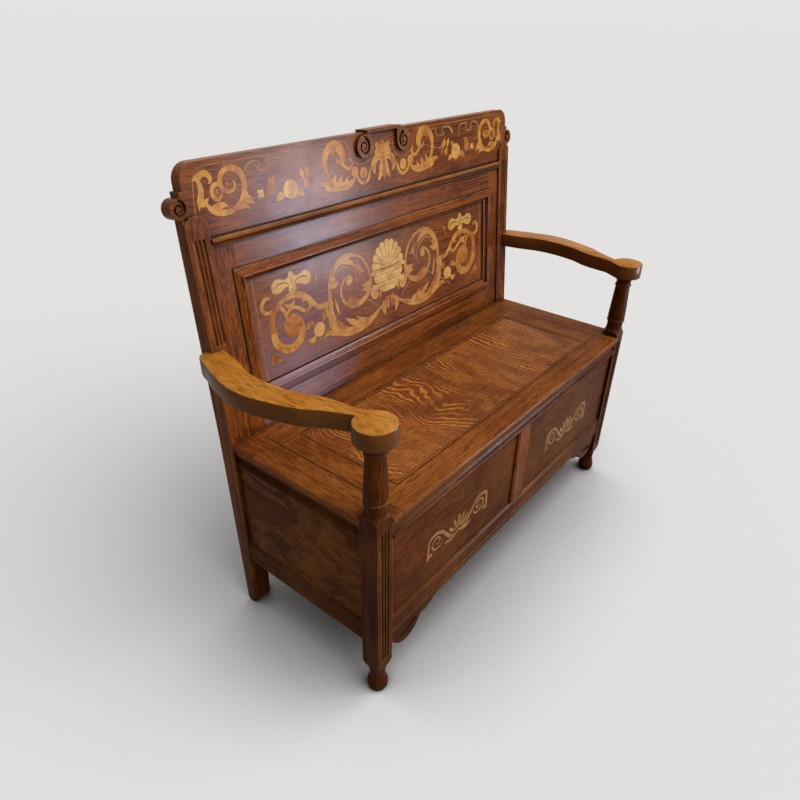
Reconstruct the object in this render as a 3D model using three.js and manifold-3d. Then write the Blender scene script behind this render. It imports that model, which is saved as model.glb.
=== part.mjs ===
// Settle bench in oak: a panelled box seat with a hinged lid, a raked panelled back under a
// scrolled crest board, and bowed arms on turned front posts. Millimetres, +Z up. The front
// faces -Y and the origin lies on the floor under the middle of the bench.
import * as THREE from 'three';
import { mergeVertices } from 'three/addons/utils/BufferGeometryUtils.js';
import loadManifold from 'manifold-3d';

const solids = await loadManifold();
solids.setup();

// Overall sizes
const benchWidth = 1084;
const seatHeight = 480;
const frameDepth = 401; // front of the front posts to front of the rear posts
const backRise = 551; // seat to the top of the crest board, up the rake
const rakeAngle = THREE.MathUtils.degToRad(4.95);

// Fits and cuts
const clearance = 0.3;
const overrun = 5;
const grooveDepth = 8;

// Smoothness
const turningSegments = 20;
const grooveSegments = 8;
const arcSteps = 6;

// Front posts
const postSize = 44;
const squareRise = 17; // square of a front post above the seat
const footHeight = 75;
const pommelHeight = 12;
const balusterRadius = 24.8;
const footRadius = 22;
const tenonRadius = 10;
const tenonLength = 14;

// Rear posts
const rearPostWidth = 48;
const rearPostDepth = 42;
const rearPostTopDepth = 27;
const rearPostFootDepth = 26;
const rearFootSetback = 4;
const rearFootHeight = 45;
const rearLegHeight = 130;
const rearFootChamfer = 6;
const shoulderRise = 458; // seat to the shoulder that carries the crest board
const headRise = 6; // top of the arched head above the shoulder
const archRise = 14;

// Flutes of all four posts
const fluteRadius = 3.6;
const flutePitch = 8.5;
const fluteCount = 3;
const rearFluteTop = 422; // above the seat, up the rake
const rearFluteBottom = 218;
const frontFluteTop = 462;
const frontFluteBottom = 105;

// Arms
const armHeight = 690;
const armThickness = 37;
const discRadius = 40;
const armBow = 64; // how far the arm bows out past the posts
const armLap = 35; // how far the arm runs back beside the rear post
const armRounding = 3;

// Seat and lid
const seatThickness = 22;
const seatEndWidth = 67;
const lidOverhang = 3;
const noseRadius = 6;
const noseHeight = 9;
const noseQuirk = 2.5;
const lidRailWidth = 66;
const lidBackRailWidth = 60;
const lidStileWidth = 64;
const lidPanelThickness = 13;
const lidPanelDrop = 1;
const lidPanelChamfer = 2.2;
const lidTongueThickness = 6;
const lidMargin = 1; // running gap round the lid
const seatStripWidth = 20;

// Hinges
const hingeLength = 64;
const hingeInset = 190; // from the end of the lid to the middle of a hinge
const knuckleRadius = 3.2;
const pinRadius = 1.3;
const knuckleGap = 0.6;
const leafThickness = 1.4;
const leafHeight = 17;
const pinHeadLength = 1.2;

// Box of the seat
const railThickness = 22;
const railSetback = 2;
const panelSetback = 8;
const panelThickness = 9;
const bottomRailHeight = 151;
const bottomRailWidth = 55;
const topRailWidth = 27; // of the front and the sides
const boxBackRailWidth = 58;
const muntinWidth = 57;
const muntinBeadRadius = 3;
const muntinQuirk = 1.2;
const frontMouldingProjection = 4;
const frontMouldingThickness = 13;
const roundRadius = 4.5; // of the round at the foot of a top rail
const topFilletHeight = 3;
const topFilletSetback = 5;
const topHollowDepth = 5;
const railBeadHeight = 9;
const railBeadRise = 7;
const railBeadProjection = 1.5;
const railWeathering = 6;

// Brackets under the front
const bracketLength = 188;
const bracketDrop = 59;
const bracketThickness = 18;
const bracketSetback = 4;
const bracketSinkDepth = 5;
const bracketSinkLength = 70;
const bracketSinkWidth = 19;

// Floor of the box
const boardCount = 4;
const boardThickness = 12;
const boardGap = 1.5;
const bearerSize = 20;

// Back
const backSetback = 5; // frame of the back behind the faces of the rear posts
const backThickness = 22;
const backStileWidth = 47;
const backBottomRailWidth = 72;
const backPanelTop = 342;
const backTopRailWidth = 59;
const backPanelSink = 7;
const backPanelThickness = 8;

// Mouldings of the back
const bolectionWidth = 30;
const bolectionLap = 10;
const bolectionRise = 7;
const crestMouldingHeight = 18;
const crestMouldingProjection = 10;

// Crest board and its scrolls
const crestThickness = 26;
const crestInset = 12.5;
const crestCornerRadius = 32;
const earRadius = 18.5;
const earLift = 1.5; // gap between the ears' lowest point and the shoulder
const earFilletHeight = 9.5;
const earGroove = 9; // widest, at the start of the spiral
const voluteGroove = 9;
const spiralDepth = 5;
const spiralTurns = 1.6;
const capLength = 116;
const capHeight = 5;
const capLip = 2.5; // how far the front of the cap hangs below its seat
const capOverhang = 10;
const capRounding = 2.5;
const voluteRadius = 23;
const voluteSpacing = 136;
const voluteProjection = 8;
const voluteDrop = 28; // top of the crest board down to the eye of a volute

// Finishes
const oak = (color, roughness = 0.45) => ({ color, roughness, metalness: 0 });
const finishes = {
  frame: oak('#6b3f20'),
  dark: oak('#4a2a16'),
  panel: oak('#5f3620', 0.4),
  seat: oak('#8a5229', 0.35),
  arm: oak('#8f5a2a', 0.32),
  inside: oak('#9a7448', 0.75),
  iron: { color: '#3b3733', roughness: 0.5, metalness: 0.9 },
};

// Places that follow from the sizes
const halfWidth = benchWidth / 2;
const postInner = halfWidth - postSize;
const rearInner = halfWidth - rearPostWidth;
const seatUnder = seatHeight - seatThickness;
const railTop = seatUnder - clearance;
const bottomRailTop = bottomRailHeight + bottomRailWidth;
const squareTop = seatHeight + squareRise;
const armUnder = armHeight - armThickness;
const discY = postSize / 2;
const discX = halfWidth - postSize / 2;
const lidHalf = halfWidth - seatEndWidth - lidMargin / 2;
const seamY = frameDepth - seatStripWidth;
const lidBack = seamY - lidMargin / 2;
const panelFace = backSetback + backPanelSink;
const cornerRadius = Math.hypot(postSize / 2, postSize / 2);
const earRise = shoulderRise + earLift + earRadius;
const voluteRise = backRise - voluteDrop;

// Ranges are pairs of ends, and a block is three of them.
const grow = (range, by) => [range[0] - by, range[1] + by];

function block([x0, x1], [y0, y1], [z0, z1]) {
  const box = new THREE.BoxGeometry(x1 - x0, y1 - y0, z1 - z0);
  return box.translate((x0 + x1) / 2, (y0 + y1) / 2, (z0 + z1) / 2);
}

// Solid arithmetic
function solidOf(geometry) {
  const bare = geometry.clone();
  bare.deleteAttribute('normal');
  bare.deleteAttribute('uv');
  const welded = mergeVertices(bare);
  return new solids.Manifold(new solids.Mesh({
    numProp: 3,
    vertProperties: new Float32Array(welded.attributes.position.array),
    triVerts: new Uint32Array(welded.index.array),
  }));
}

function geometryOf(solid) {
  const mesh = solid.getMesh();
  const geometry = new THREE.BufferGeometry();
  geometry.setAttribute('position', new THREE.BufferAttribute(mesh.vertProperties, mesh.numProp));
  geometry.setIndex(new THREE.BufferAttribute(mesh.triVerts, 1));
  return geometry;
}

const joined = (geometries) => geometryOf(solids.Manifold.union(geometries.map(solidOf)));
const common = (one, other) => geometryOf(solidOf(one).intersect(solidOf(other)));
const mirrored = (geometry) => geometryOf(solidOf(geometry).mirror([1, 0, 0]));

function cut(geometry, cutters) {
  return geometryOf(solidOf(geometry).subtract(solids.Manifold.union(cutters.map(solidOf))));
}

// The room that a block needs in its neighbour, with the clearance all round
const room = (ranges) => block(...ranges.map((range) => grow(range, clearance)));

// Outlines
const outline = (points) => new THREE.Shape(points.map(([a, b]) => new THREE.Vector2(a, b)));
const pairs = (points) => points.map((point) => [point.x, point.y]);

function arc(x, y, radius, startTurnShare, endTurnShare, steps = arcSteps) {
  const turn = Math.PI * 2;
  const clockwise = endTurnShare < startTurnShare;
  const curve = new THREE.ArcCurve(x, y, radius, startTurnShare * turn, endTurnShare * turn, clockwise);
  return pairs(curve.getPoints(steps));
}

function smooth(points, steps) {
  return pairs(new THREE.SplineCurve(points.map(([a, b]) => new THREE.Vector2(a, b))).getPoints(steps));
}

// Extrusions along each axis. The outline lies in the other two axes, in cyclic order.
function alongX(shape, [from, to]) {
  const prism = new THREE.ExtrudeGeometry(shape, { depth: to - from, bevelEnabled: false });
  const basis = new THREE.Matrix4().makeBasis(
    new THREE.Vector3(0, 1, 0),
    new THREE.Vector3(0, 0, 1),
    new THREE.Vector3(1, 0, 0),
  );
  return prism.applyMatrix4(basis).translate(from, 0, 0);
}

function alongY(shape, [from, to]) {
  const prism = new THREE.ExtrudeGeometry(shape, { depth: to - from, bevelEnabled: false });
  return prism.rotateX(Math.PI / 2).translate(0, to, 0);
}

function alongZ(shape, [from, to]) {
  const prism = new THREE.ExtrudeGeometry(shape, { depth: to - from, bevelEnabled: false });
  return prism.translate(0, 0, from);
}

function turned(points) {
  const profile = points.map(([radius, height]) => new THREE.Vector2(radius, height));
  return new THREE.LatheGeometry(profile, turningSegments).rotateX(Math.PI / 2);
}

// Turns a shape from the frame of the back, where y runs square off its face and z up the rake
function raked(geometry) {
  return geometry.rotateX(-rakeAngle).translate(0, frameDepth, seatHeight);
}

// Round-ended grooves side by side on a face that looks along -Y
function flutes(x, [bottom, top]) {
  const middle = (fluteCount - 1) / 2;
  return Array.from({ length: fluteCount }, (_, index) => {
    const length = top - bottom - fluteRadius - fluteRadius;
    const groove = new THREE.CapsuleGeometry(fluteRadius, length, 3, grooveSegments);
    groove.rotateY(Math.PI / grooveSegments).rotateX(Math.PI / 2);
    return groove.translate(x + (index - middle) * flutePitch, 0, (bottom + top) / 2);
  });
}

// Scroll line sunk into a face that looks along -Y: a band that starts near the top of the rim
// of a scroll and narrows as it winds in to a round eye
const spiralRimShare = 0.94;
const spiralEyeShare = 0.18;
const spiralTaperShare = 0.3;

function spiral(x, z, rim, groove, face) {
  const steps = Math.round(spiralTurns * turningSegments);
  const start = rim * spiralRimShare - groove / 2;
  const edge = (side) => Array.from({ length: steps + 1 }, (_, index) => {
    const along = index / steps;
    const left = 1 - along;
    const width = groove * THREE.MathUtils.lerp(spiralTaperShare, 1, left * left);
    const reach = THREE.MathUtils.lerp(start, rim * spiralEyeShare, along) + side * width / 2;
    const angle = Math.PI / 2 - along * spiralTurns * Math.PI * 2;
    return [x + reach * Math.cos(angle), z + reach * Math.sin(angle)];
  });
  return alongY(outline([...edge(1), ...edge(-1).reverse()]), [face - overrun, face + spiralDepth]);
}

// Front post: square in the middle, turned above the seat and at the foot
const balusterShares = [
  [0.8, 0], [0.9, 0.02], [0.97, 0.035], [0.99, 0.05], [0.97, 0.065], [0.88, 0.078], [0.86, 0.085],
  [0.87, 0.1], [0.85, 0.15], [0.86, 0.2], [0.88, 0.212], [0.95, 0.218], [0.985, 0.235], [0.95, 0.252],
  [0.88, 0.258], [0.93, 0.27], [0.94, 0.3], [0.9, 0.45], [0.84, 0.62], [0.79, 0.78], [0.77, 0.835],
  [0.84, 0.84], [0.88, 0.857], [0.84, 0.874], [0.77, 0.88], [0.76, 0.9], [0.8, 0.93], [0.87, 0.955],
  [0.9, 0.975], [0.9, 1],
];
const footShares = [
  [0.74, 0], [0.92, 0.03], [1.02, 0.1], [1.06, 0.2], [1.02, 0.3], [0.93, 0.39], [0.83, 0.47],
  [0.79, 0.55], [0.78, 0.64], [0.8, 0.74], [0.84, 0.84], [0.85, 0.92], [0.85, 1.1],
];
const pommelShares = [[-0.3, -0.05], [0, 0], [0.2, 0.3], [0.7, 0.65], [1.05, 1]];

function frontPost() {
  const half = postSize / 2;
  const squareBase = footHeight;
  const pommel = pommelShares.map(([out, up]) => [half + (cornerRadius - half) * out, pommelHeight * up]);
  const blank = turned([
    [0, squareBase + pommel[0][1]],
    ...pommel.map(([radius, rise]) => [radius, squareBase + rise]),
    ...pommel.map(([radius, rise]) => [radius, squareTop - rise]).reverse(),
    [0, squareTop - pommel[0][1]],
  ]);
  const square = block([-half, half], [-half, half], grow([squareBase, squareTop], overrun));
  const balusterBase = squareTop - pommelHeight;
  const balusterHeight = armUnder - clearance - balusterBase;
  const baluster = turned([
    [0, balusterBase],
    ...balusterShares.map(([out, up]) => [balusterRadius * out, balusterBase + balusterHeight * up]),
    [tenonRadius, armUnder - clearance],
    [tenonRadius, armUnder + tenonLength],
    [0, armUnder + tenonLength],
  ]);
  const foot = turned([
    [0, 0],
    ...footShares.map(([out, up]) => [footRadius * out, footHeight * up]),
    [0, footHeight * footShares.at(-1)[1]],
  ]);
  const post = joined([common(blank, square), baluster, foot]).translate(-discX, discY, 0);
  return cut(post, [
    ...flutes(-discX, [frontFluteBottom, frontFluteTop]),
    room(sidePanelRanges),
    room(frontPanelRanges),
  ]);
}

// Rear post: a leg that tapers to the floor, raked from the seat up. An arched head in front of
// the crest board rises past the shoulder under it.
function rearPost() {
  const up = (out, rise) => [
    frameDepth + Math.cos(rakeAngle) * out + Math.sin(rakeAngle) * rise,
    seatHeight + Math.cos(rakeAngle) * rise - Math.sin(rakeAngle) * out,
  ];
  const footFront = frameDepth + rearFootSetback;
  const footBack = frameDepth + rearPostDepth + rearFootSetback - (rearPostDepth - rearPostFootDepth);
  const peak = shoulderRise + headRise;
  const blankTop = peak + overrun;
  const side = outline([
    [footFront + rearFootChamfer, 0],
    [footBack - rearFootChamfer, 0],
    [footBack, rearFootChamfer],
    [frameDepth + rearPostDepth, seatHeight],
    up(rearPostTopDepth, shoulderRise),
    up(backSetback - clearance, shoulderRise),
    up(backSetback - clearance, blankTop),
    up(0, blankTop),
    [frameDepth, seatHeight],
    [frameDepth, rearLegHeight],
    [footFront, rearFootHeight],
    [footFront, rearFootChamfer],
  ]);
  const half = rearPostWidth / 2;
  const archRadius = (half * half + archRise * archRise) / (archRise + archRise);
  const spring = Math.asin(half / archRadius) / (Math.PI * 2);
  const outside = outline([
    [-half - overrun, peak - archRise],
    ...arc(0, peak - archRadius, archRadius, 0.25 + spring, 0.25 - spring),
    [half + overrun, peak - archRise],
    [half + overrun, blankTop + overrun],
    [-half - overrun, blankTop + overrun],
  ]);
  const x = half - halfWidth;
  return cut(alongX(side, grow([x, x], half)), [
    raked(alongY(outside, [-overrun, backSetback])).translate(x, 0, 0),
    ...flutes(x, [rearFluteBottom, rearFluteTop]).map(raked),
    room(sidePanelRanges),
    room(boxBackPanelRanges),
  ]);
}

// Arm: a level board, bowed outwards, that swells into a disc over the front post
const armOuterShares = [
  [-0.05, 1.087], [0.25, 1.083], [0.45, 1.045], [0.6, 0.97], [0.78, 0.89], [1, 0.74], [0.98, 0.62],
  [0.83, 0.52], [0.5, 0.37], [0.11, 0.27], [-0.2, 0.165],
];
const armInnerShares = [
  [-0.56, 0.18], [-0.41, 0.35], [-0.1, 0.47], [0.06, 0.61], [0.05, 0.76], [-0.24, 0.91], [-0.5, 1.12],
];
const armDiscStartShare = 0.28;
const armDiscEndShare = 1.04;

function arm() {
  const place = ([out, back]) => [-halfWidth - armBow * out, frameDepth * back];
  const discSteps = turningSegments + arcSteps;
  const board = outline([
    ...smooth(armOuterShares.map(place), turningSegments + arcSteps),
    ...arc(-discX, discY, discRadius, armDiscStartShare, armDiscEndShare, discSteps),
    ...smooth(armInnerShares.map(place), turningSegments),
  ]);
  const geometry = new THREE.ExtrudeGeometry(board, {
    depth: armThickness - armRounding - armRounding,
    bevelThickness: armRounding,
    bevelSize: armRounding,
    bevelOffset: -armRounding,
    bevelSegments: 2,
  }).translate(0, 0, armUnder + armRounding);
  const beside = grow([-halfWidth, -rearInner], clearance);
  const behind = [-clearance, armLap + rearPostDepth];
  const housing = raked(block(beside, behind, grow([0, armHeight - seatHeight], overrun)));
  const rear = block(
    [-halfWidth - armBow, -rearInner],
    [frameDepth + armLap, frameDepth + armLap + rearPostDepth],
    grow([armUnder, armHeight], overrun),
  );
  const mortise = new THREE.CylinderGeometry(
    tenonRadius + clearance,
    tenonRadius + clearance,
    tenonLength + clearance + overrun,
    turningSegments,
  );
  mortise.rotateX(Math.PI / 2);
  mortise.translate(-discX, discY, armUnder + (tenonLength + clearance - overrun) / 2);
  return cut(geometry, [housing, rear, mortise]);
}

// Edge of the seat: a rounded nose over a quirk and a sloping fillet
function nosed(front, back) {
  const quirk = seatHeight - noseHeight;
  return [
    [back, seatUnder],
    [back, seatHeight],
    ...arc(front + noseRadius, seatHeight - noseRadius, noseRadius, 0.25, 0.5),
    [front, quirk],
    [front + noseQuirk, quirk],
    [front + noseQuirk + noseQuirk, seatUnder],
  ];
}

function seatEnd() {
  const inner = -halfWidth + seatEndWidth - lidMargin / 2;
  const back = frameDepth + backSetback - clearance;
  const side = alongY(outline(nosed(-halfWidth, inner)), [-lidOverhang - overrun, back]);
  const front = alongX(outline(nosed(-lidOverhang, back)), [-halfWidth - overrun, inner + overrun]);
  const depth = grow([seatUnder, seatHeight], overrun);
  return cut(common(side, front), [
    block([-halfWidth - overrun, -postInner + clearance], [-postSize, postSize + clearance], depth),
    block([-halfWidth - overrun, -rearInner + clearance], [frameDepth - clearance, back + overrun], depth),
  ]);
}

// Lid: a frame round a flush panel, tongued into all four members
const lidPanelX = [-lidHalf + lidStileWidth + clearance, lidHalf - lidStileWidth - clearance];
const lidPanelY = [-lidOverhang + lidRailWidth + clearance, lidBack - lidBackRailWidth - clearance];
const lidPanelTop = seatHeight - lidPanelDrop;
const lidTongueZ = [seatHeight - lidPanelThickness, seatHeight - lidPanelThickness + lidTongueThickness];
const lidTongue = [grow(lidPanelX, grooveDepth), grow(lidPanelY, grooveDepth), lidTongueZ];
const hingeXs = [-lidHalf + hingeInset, lidHalf - hingeInset];

function lidPanel() {
  const chamfered = ([from, to]) => outline([
    [from, lidTongueZ[0]],
    [to, lidTongueZ[0]],
    [to, lidPanelTop - lidPanelChamfer],
    [to - lidPanelChamfer, lidPanelTop],
    [from + lidPanelChamfer, lidPanelTop],
    [from, lidPanelTop - lidPanelChamfer],
  ]);
  const field = common(alongX(chamfered(lidPanelY), lidPanelX), alongY(chamfered(lidPanelX), lidPanelY));
  return joined([field, block(...lidTongue)]);
}

const lidFrontRail = () => cut(
  alongX(outline(nosed(-lidOverhang, lidPanelY[0] - clearance)), [-lidHalf, lidHalf]),
  [room(lidTongue)],
);

function lidBackRail() {
  const rail = block([-lidHalf, lidHalf], [lidPanelY[1] + clearance, lidBack], [seatUnder, seatHeight]);
  return cut(rail, [room(lidTongue), ...hingeXs.map((x) => hingeRoom(x, -1))]);
}

function lidStile() {
  const along = grow(lidPanelY, 0);
  return cut(block([-lidHalf, lidPanelX[0] - clearance], along, [seatUnder, seatHeight]), [room(lidTongue)]);
}

// Butt hinges: the knuckle lies on the arris between the lid and the strip behind it
const leafFace = lidMargin / 2 - clearance / 2;

function hingeRoom(x, side) {
  const length = hingeLength + pinHeadLength + pinHeadLength;
  const knuckle = new THREE.CylinderGeometry(1, 1, 1, grooveSegments + grooveSegments);
  knuckle.scale(knuckleRadius + clearance, length + clearance + clearance, knuckleRadius + clearance);
  knuckle.rotateZ(Math.PI / 2).translate(x, seamY, seatHeight);
  const reach = [seamY + side * (leafFace + leafThickness + clearance), seamY - side * lidMargin];
  const leaf = block(
    grow([x - hingeLength / 2, x + hingeLength / 2], clearance),
    [Math.min(...reach), Math.max(...reach)],
    [seatHeight - knuckleRadius - leafHeight - clearance, seatHeight],
  );
  return joined([knuckle, leaf]);
}

function hingeLeaf(x, side, knuckles) {
  const pitch = hingeLength / 3;
  const start = x - hingeLength / 2;
  const faces = [seamY + side * leafFace, seamY + side * (leafFace + leafThickness)];
  const plate = block(
    [start, start + hingeLength],
    [Math.min(...faces), Math.max(...faces)],
    [seatHeight - knuckleRadius - leafHeight, seatHeight - pinRadius - clearance - leafThickness / 2],
  );
  const barrel = (index, radius, extra) => {
    const from = start + index * pitch + (index > 0 ? knuckleGap / 2 : 0) - extra;
    const to = start + (index + 1) * pitch - (index < 2 ? knuckleGap / 2 : 0) + extra;
    const tube = new THREE.CylinderGeometry(radius, radius, to - from, grooveSegments + grooveSegments);
    return tube.rotateZ(Math.PI / 2).translate((from + to) / 2, seamY, seatHeight);
  };
  const own = knuckles.map((index) => barrel(index, knuckleRadius, 0));
  const others = [0, 1, 2].filter((index) => !knuckles.includes(index));
  const notches = others.map((index) => barrel(index, knuckleRadius + clearance, knuckleGap));
  const bore = barrel(1, pinRadius + clearance, hingeLength);
  return cut(joined([cut(plate, notches), ...own]), [bore]);
}

function hingePin(x) {
  const shaft = new THREE.CylinderGeometry(pinRadius, pinRadius, hingeLength + pinHeadLength, grooveSegments);
  const heads = [-1, 1].map((end) => {
    const size = pinRadius + clearance + clearance + pinRadius / 2;
    const length = pinHeadLength - clearance;
    const head = new THREE.CylinderGeometry(size, size, length, grooveSegments + grooveSegments);
    return head.translate(0, end * (hingeLength / 2 + clearance + length / 2), 0);
  });
  return joined([shaft, ...heads]).rotateZ(Math.PI / 2).translate(x, seamY, seatHeight);
}

// Strip behind the lid, which also carries the frame of the back
function seatStrip() {
  const side = -rearInner + clearance;
  const seatEndBack = frameDepth + backSetback;
  const strip = block(
    [side, -side],
    [seamY + lidMargin / 2, frameDepth + backSetback + backThickness],
    [seatUnder, seatHeight],
  );
  const corner = block(
    [side - overrun, -halfWidth + seatEndWidth - lidMargin / 2 + clearance],
    [seamY - overrun, seatEndBack],
    grow([seatUnder, seatHeight], overrun),
  );
  return cut(strip, [corner, mirrored(corner), ...hingeXs.map((x) => hingeRoom(x, 1))]);
}

// Box of the seat: rails with their panels
const frontFace = railSetback;
const sideFace = -halfWidth + railSetback;
const boxBackFace = frameDepth + backSetback;
const topRailLow = railTop - topRailWidth;
const frontPanelRanges = [
  [-postInner - grooveDepth, -muntinWidth / 2 + grooveDepth],
  [panelSetback, panelSetback + panelThickness],
  [bottomRailTop - grooveDepth, topRailLow + grooveDepth],
];
const sidePanelRanges = [
  [-halfWidth + panelSetback, -halfWidth + panelSetback + panelThickness],
  [postSize - grooveDepth, frameDepth + grooveDepth],
  [bottomRailTop - grooveDepth, topRailLow + grooveDepth],
];
const boxBackPanelRanges = [
  [-rearInner - grooveDepth, rearInner + grooveDepth],
  [boxBackFace + panelSetback, boxBackFace + panelSetback + panelThickness],
  [bottomRailTop - grooveDepth, railTop - boxBackRailWidth + grooveDepth],
];
const frontSpan = [-postInner + clearance, postInner - clearance];
const sideSpan = [postSize + clearance, frameDepth - clearance];
const rearSpan = [-rearInner + clearance, rearInner - clearance];

// Section of a moulded top rail: a fillet under the seat, a hollow, and a round at the foot
function topRailSection(face, back) {
  const round = arc(face + roundRadius, topRailLow + roundRadius, roundRadius, 0.25, 0.75);
  const hollowTop = [face + topFilletSetback, railTop - topFilletHeight];
  const hollowMiddle = [hollowTop[0] + topHollowDepth, (hollowTop[1] + round[0][1]) / 2];
  return outline([
    [back, topRailLow],
    [back, railTop],
    [hollowTop[0], railTop],
    ...smooth([hollowTop, hollowMiddle, round[0]], arcSteps),
    ...round.slice(1),
  ]);
}

const frontMouldingBack = frontMouldingThickness - frontMouldingProjection;

function frontTopRail() {
  const depth = [frontMouldingBack + clearance, frontMouldingBack + clearance + railThickness];
  const rail = block(frontSpan, depth, [topRailLow, railTop]);
  return cut(rail, [room(frontPanelRanges), mirrored(room(frontPanelRanges))]);
}

function frontTopMoulding() {
  const moulding = alongX(topRailSection(-frontMouldingProjection, frontMouldingBack), frontSpan);
  return cut(moulding, [room(frontPanelRanges), mirrored(room(frontPanelRanges))]);
}

// Section of a bottom rail, from its outer face inwards: bead near the foot, weathered top
function bottomRailSection(face, inward) {
  const beadMiddle = bottomRailHeight + railBeadRise + railBeadHeight / 2;
  const bead = arc(0, 0, 1, 0.75, 0.25).map(([out, up]) => [
    face - inward * railBeadProjection * Math.abs(out),
    beadMiddle + (railBeadHeight / 2) * up,
  ]);
  const quirk = face + inward * railBeadProjection;
  return [
    [face + inward * railThickness, bottomRailHeight],
    [face + inward * railThickness, bottomRailTop],
    [face + inward * railWeathering, bottomRailTop],
    [face, bottomRailTop - railWeathering],
    [face, beadMiddle + railBeadHeight / 2 + railBeadProjection],
    [quirk, beadMiddle + railBeadHeight / 2],
    ...bead.reverse().slice(1, -1),
    [quirk, beadMiddle - railBeadHeight / 2],
    [face, beadMiddle - railBeadHeight / 2 - railBeadProjection],
    [face, bottomRailHeight],
  ];
}

function frontBottomRail() {
  const rail = alongX(outline(bottomRailSection(frontFace, 1)), frontSpan);
  return cut(rail, [room(frontPanelRanges), mirrored(room(frontPanelRanges)), room(muntinTenon)]);
}

const muntinTenon = [
  [-muntinWidth / 4, muntinWidth / 4],
  [panelSetback, panelSetback + panelThickness],
  [bottomRailTop - grooveDepth - grooveDepth, bottomRailTop + overrun],
];

// Muntin: a flat upright with a quirked bead down each edge
function frontMuntin() {
  const half = muntinWidth / 2;
  const beadMiddle = half - muntinBeadRadius;
  const flatHalf = beadMiddle - muntinBeadRadius - muntinQuirk;
  const quirk = frontFace + muntinBeadRadius;
  const section = outline([
    [-half, frontFace + railThickness],
    ...arc(-beadMiddle, quirk, muntinBeadRadius, 0.5, 1),
    [-flatHalf, quirk],
    [-flatHalf, frontFace],
    [flatHalf, frontFace],
    [flatHalf, quirk],
    ...arc(beadMiddle, quirk, muntinBeadRadius, 0.5, 1),
    [half, frontFace + railThickness],
  ]);
  const post = alongZ(section, [bottomRailTop + clearance, topRailLow - clearance]);
  const seat = block(
    [-muntinWidth, muntinWidth],
    [-overrun, frontFace + railWeathering],
    [bottomRailTop - railWeathering, bottomRailTop + clearance],
  );
  const panels = [room(frontPanelRanges), mirrored(room(frontPanelRanges)), seat];
  return cut(joined([post, block(...muntinTenon)]), panels);
}

function sideTopRail() {
  const rail = alongY(topRailSection(-halfWidth, sideFace + railThickness), sideSpan);
  return cut(rail, [room(sidePanelRanges)]);
}

function sideBottomRail() {
  const section = outline(bottomRailSection(sideFace, 1));
  return cut(alongY(section, sideSpan), [room(sidePanelRanges)]);
}

function boxBackRail(range) {
  const rail = block(rearSpan, [boxBackFace, boxBackFace + railThickness], range);
  return cut(rail, [room(boxBackPanelRanges)]);
}

// Bracket: two lobes that meet in a cusp, with a leaf-shaped hollow sunk in the first
const bracketLobeShares = [
  [[0, 0.24], [0.06, 0.54], [0.15, 0.86], [0.26, 1], [0.36, 1], [0.5, 0.7], [0.57, 0.36]],
  [[0.57, 0.36], [0.63, 0.42], [0.69, 0.39], [0.86, 0.14], [1, 0]],
];
const bracketSinkPlaceShare = [0.31, 0.52];
const bracketSinkTilt = THREE.MathUtils.degToRad(-14);

function bracket() {
  const start = -postInner + clearance;
  const top = bottomRailHeight - clearance;
  const place = ([along, down]) => [start + bracketLength * along, top - bracketDrop * down];
  const lobes = bracketLobeShares.flatMap((lobe) => smooth(lobe.map(place), arcSteps + arcSteps));
  const face = frontFace + bracketSetback;
  const plate = alongY(outline([[start, top], ...lobes]), [face, face + bracketThickness]);
  const sinkRadius = bracketSinkWidth / 2;
  const sink = new THREE.CylinderGeometry(sinkRadius, sinkRadius, 1, turningSegments);
  sink.scale(bracketSinkLength / bracketSinkWidth, bracketSinkDepth + overrun, 1);
  sink.rotateY(bracketSinkTilt);
  const [x, z] = place(bracketSinkPlaceShare);
  sink.translate(x, face + (bracketSinkDepth - overrun) / 2, z);
  return cut(plate, [sink]);
}

// Floor of the box: boards from front to back on a bearer at each side
const bearerTop = bottomRailHeight + bearerSize;
const innerFrontFace = frontFace + railThickness;

function bearer(front) {
  const y = front
    ? [innerFrontFace + clearance, innerFrontFace + clearance + bearerSize]
    : [boxBackFace - clearance - bearerSize, boxBackFace - clearance];
  return block(front ? frontSpan : rearSpan, y, [bottomRailHeight, bearerTop]);
}

function floorBoard(index) {
  const inside = halfWidth - Math.max(postSize, rearPostWidth) - clearance;
  const pitch = (inside + inside) / boardCount;
  const from = -inside + index * pitch;
  const x = [from + boardGap / 2, from + pitch - boardGap / 2];
  const y = [innerFrontFace + clearance + clearance, boxBackFace - clearance - clearance];
  const board = block(x, y, [bearerTop + clearance, bearerTop + clearance + boardThickness]);
  const corner = [[-halfWidth, -postInner + clearance], [0, postSize + clearance], [0, seatHeight]];
  const notch = block(...corner);
  return cut(board, [notch, mirrored(notch)]);
}

// Back, drawn upright in its own frame: y runs square off the face and z up the rake
const backPanelRanges = [
  [-halfWidth + rearPostWidth + backStileWidth, halfWidth - rearPostWidth - backStileWidth],
  [panelFace, panelFace + backPanelThickness],
  [backBottomRailWidth, backPanelTop],
].map((range, axis) => (axis === 1 ? range : grow(range, grooveDepth)));
const stileInner = rearInner - backStileWidth;
const railSpan = [-stileInner + clearance, stileInner - clearance];
const backDepth = [backSetback, backSetback + backThickness];
const backFrameTop = backPanelTop + backTopRailWidth;

// Lower ends are planed level with the seat.
function onSeat(geometry) {
  const level = Math.tan(rakeAngle);
  const wedge = outline([
    [0, -overrun],
    [backDepth[1] + overrun, -overrun],
    [backDepth[1] + overrun, (backDepth[1] + overrun) * level + clearance],
    [0, clearance],
  ]);
  return cut(geometry, [alongX(wedge, grow([-halfWidth, halfWidth], overrun))]);
}

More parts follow.
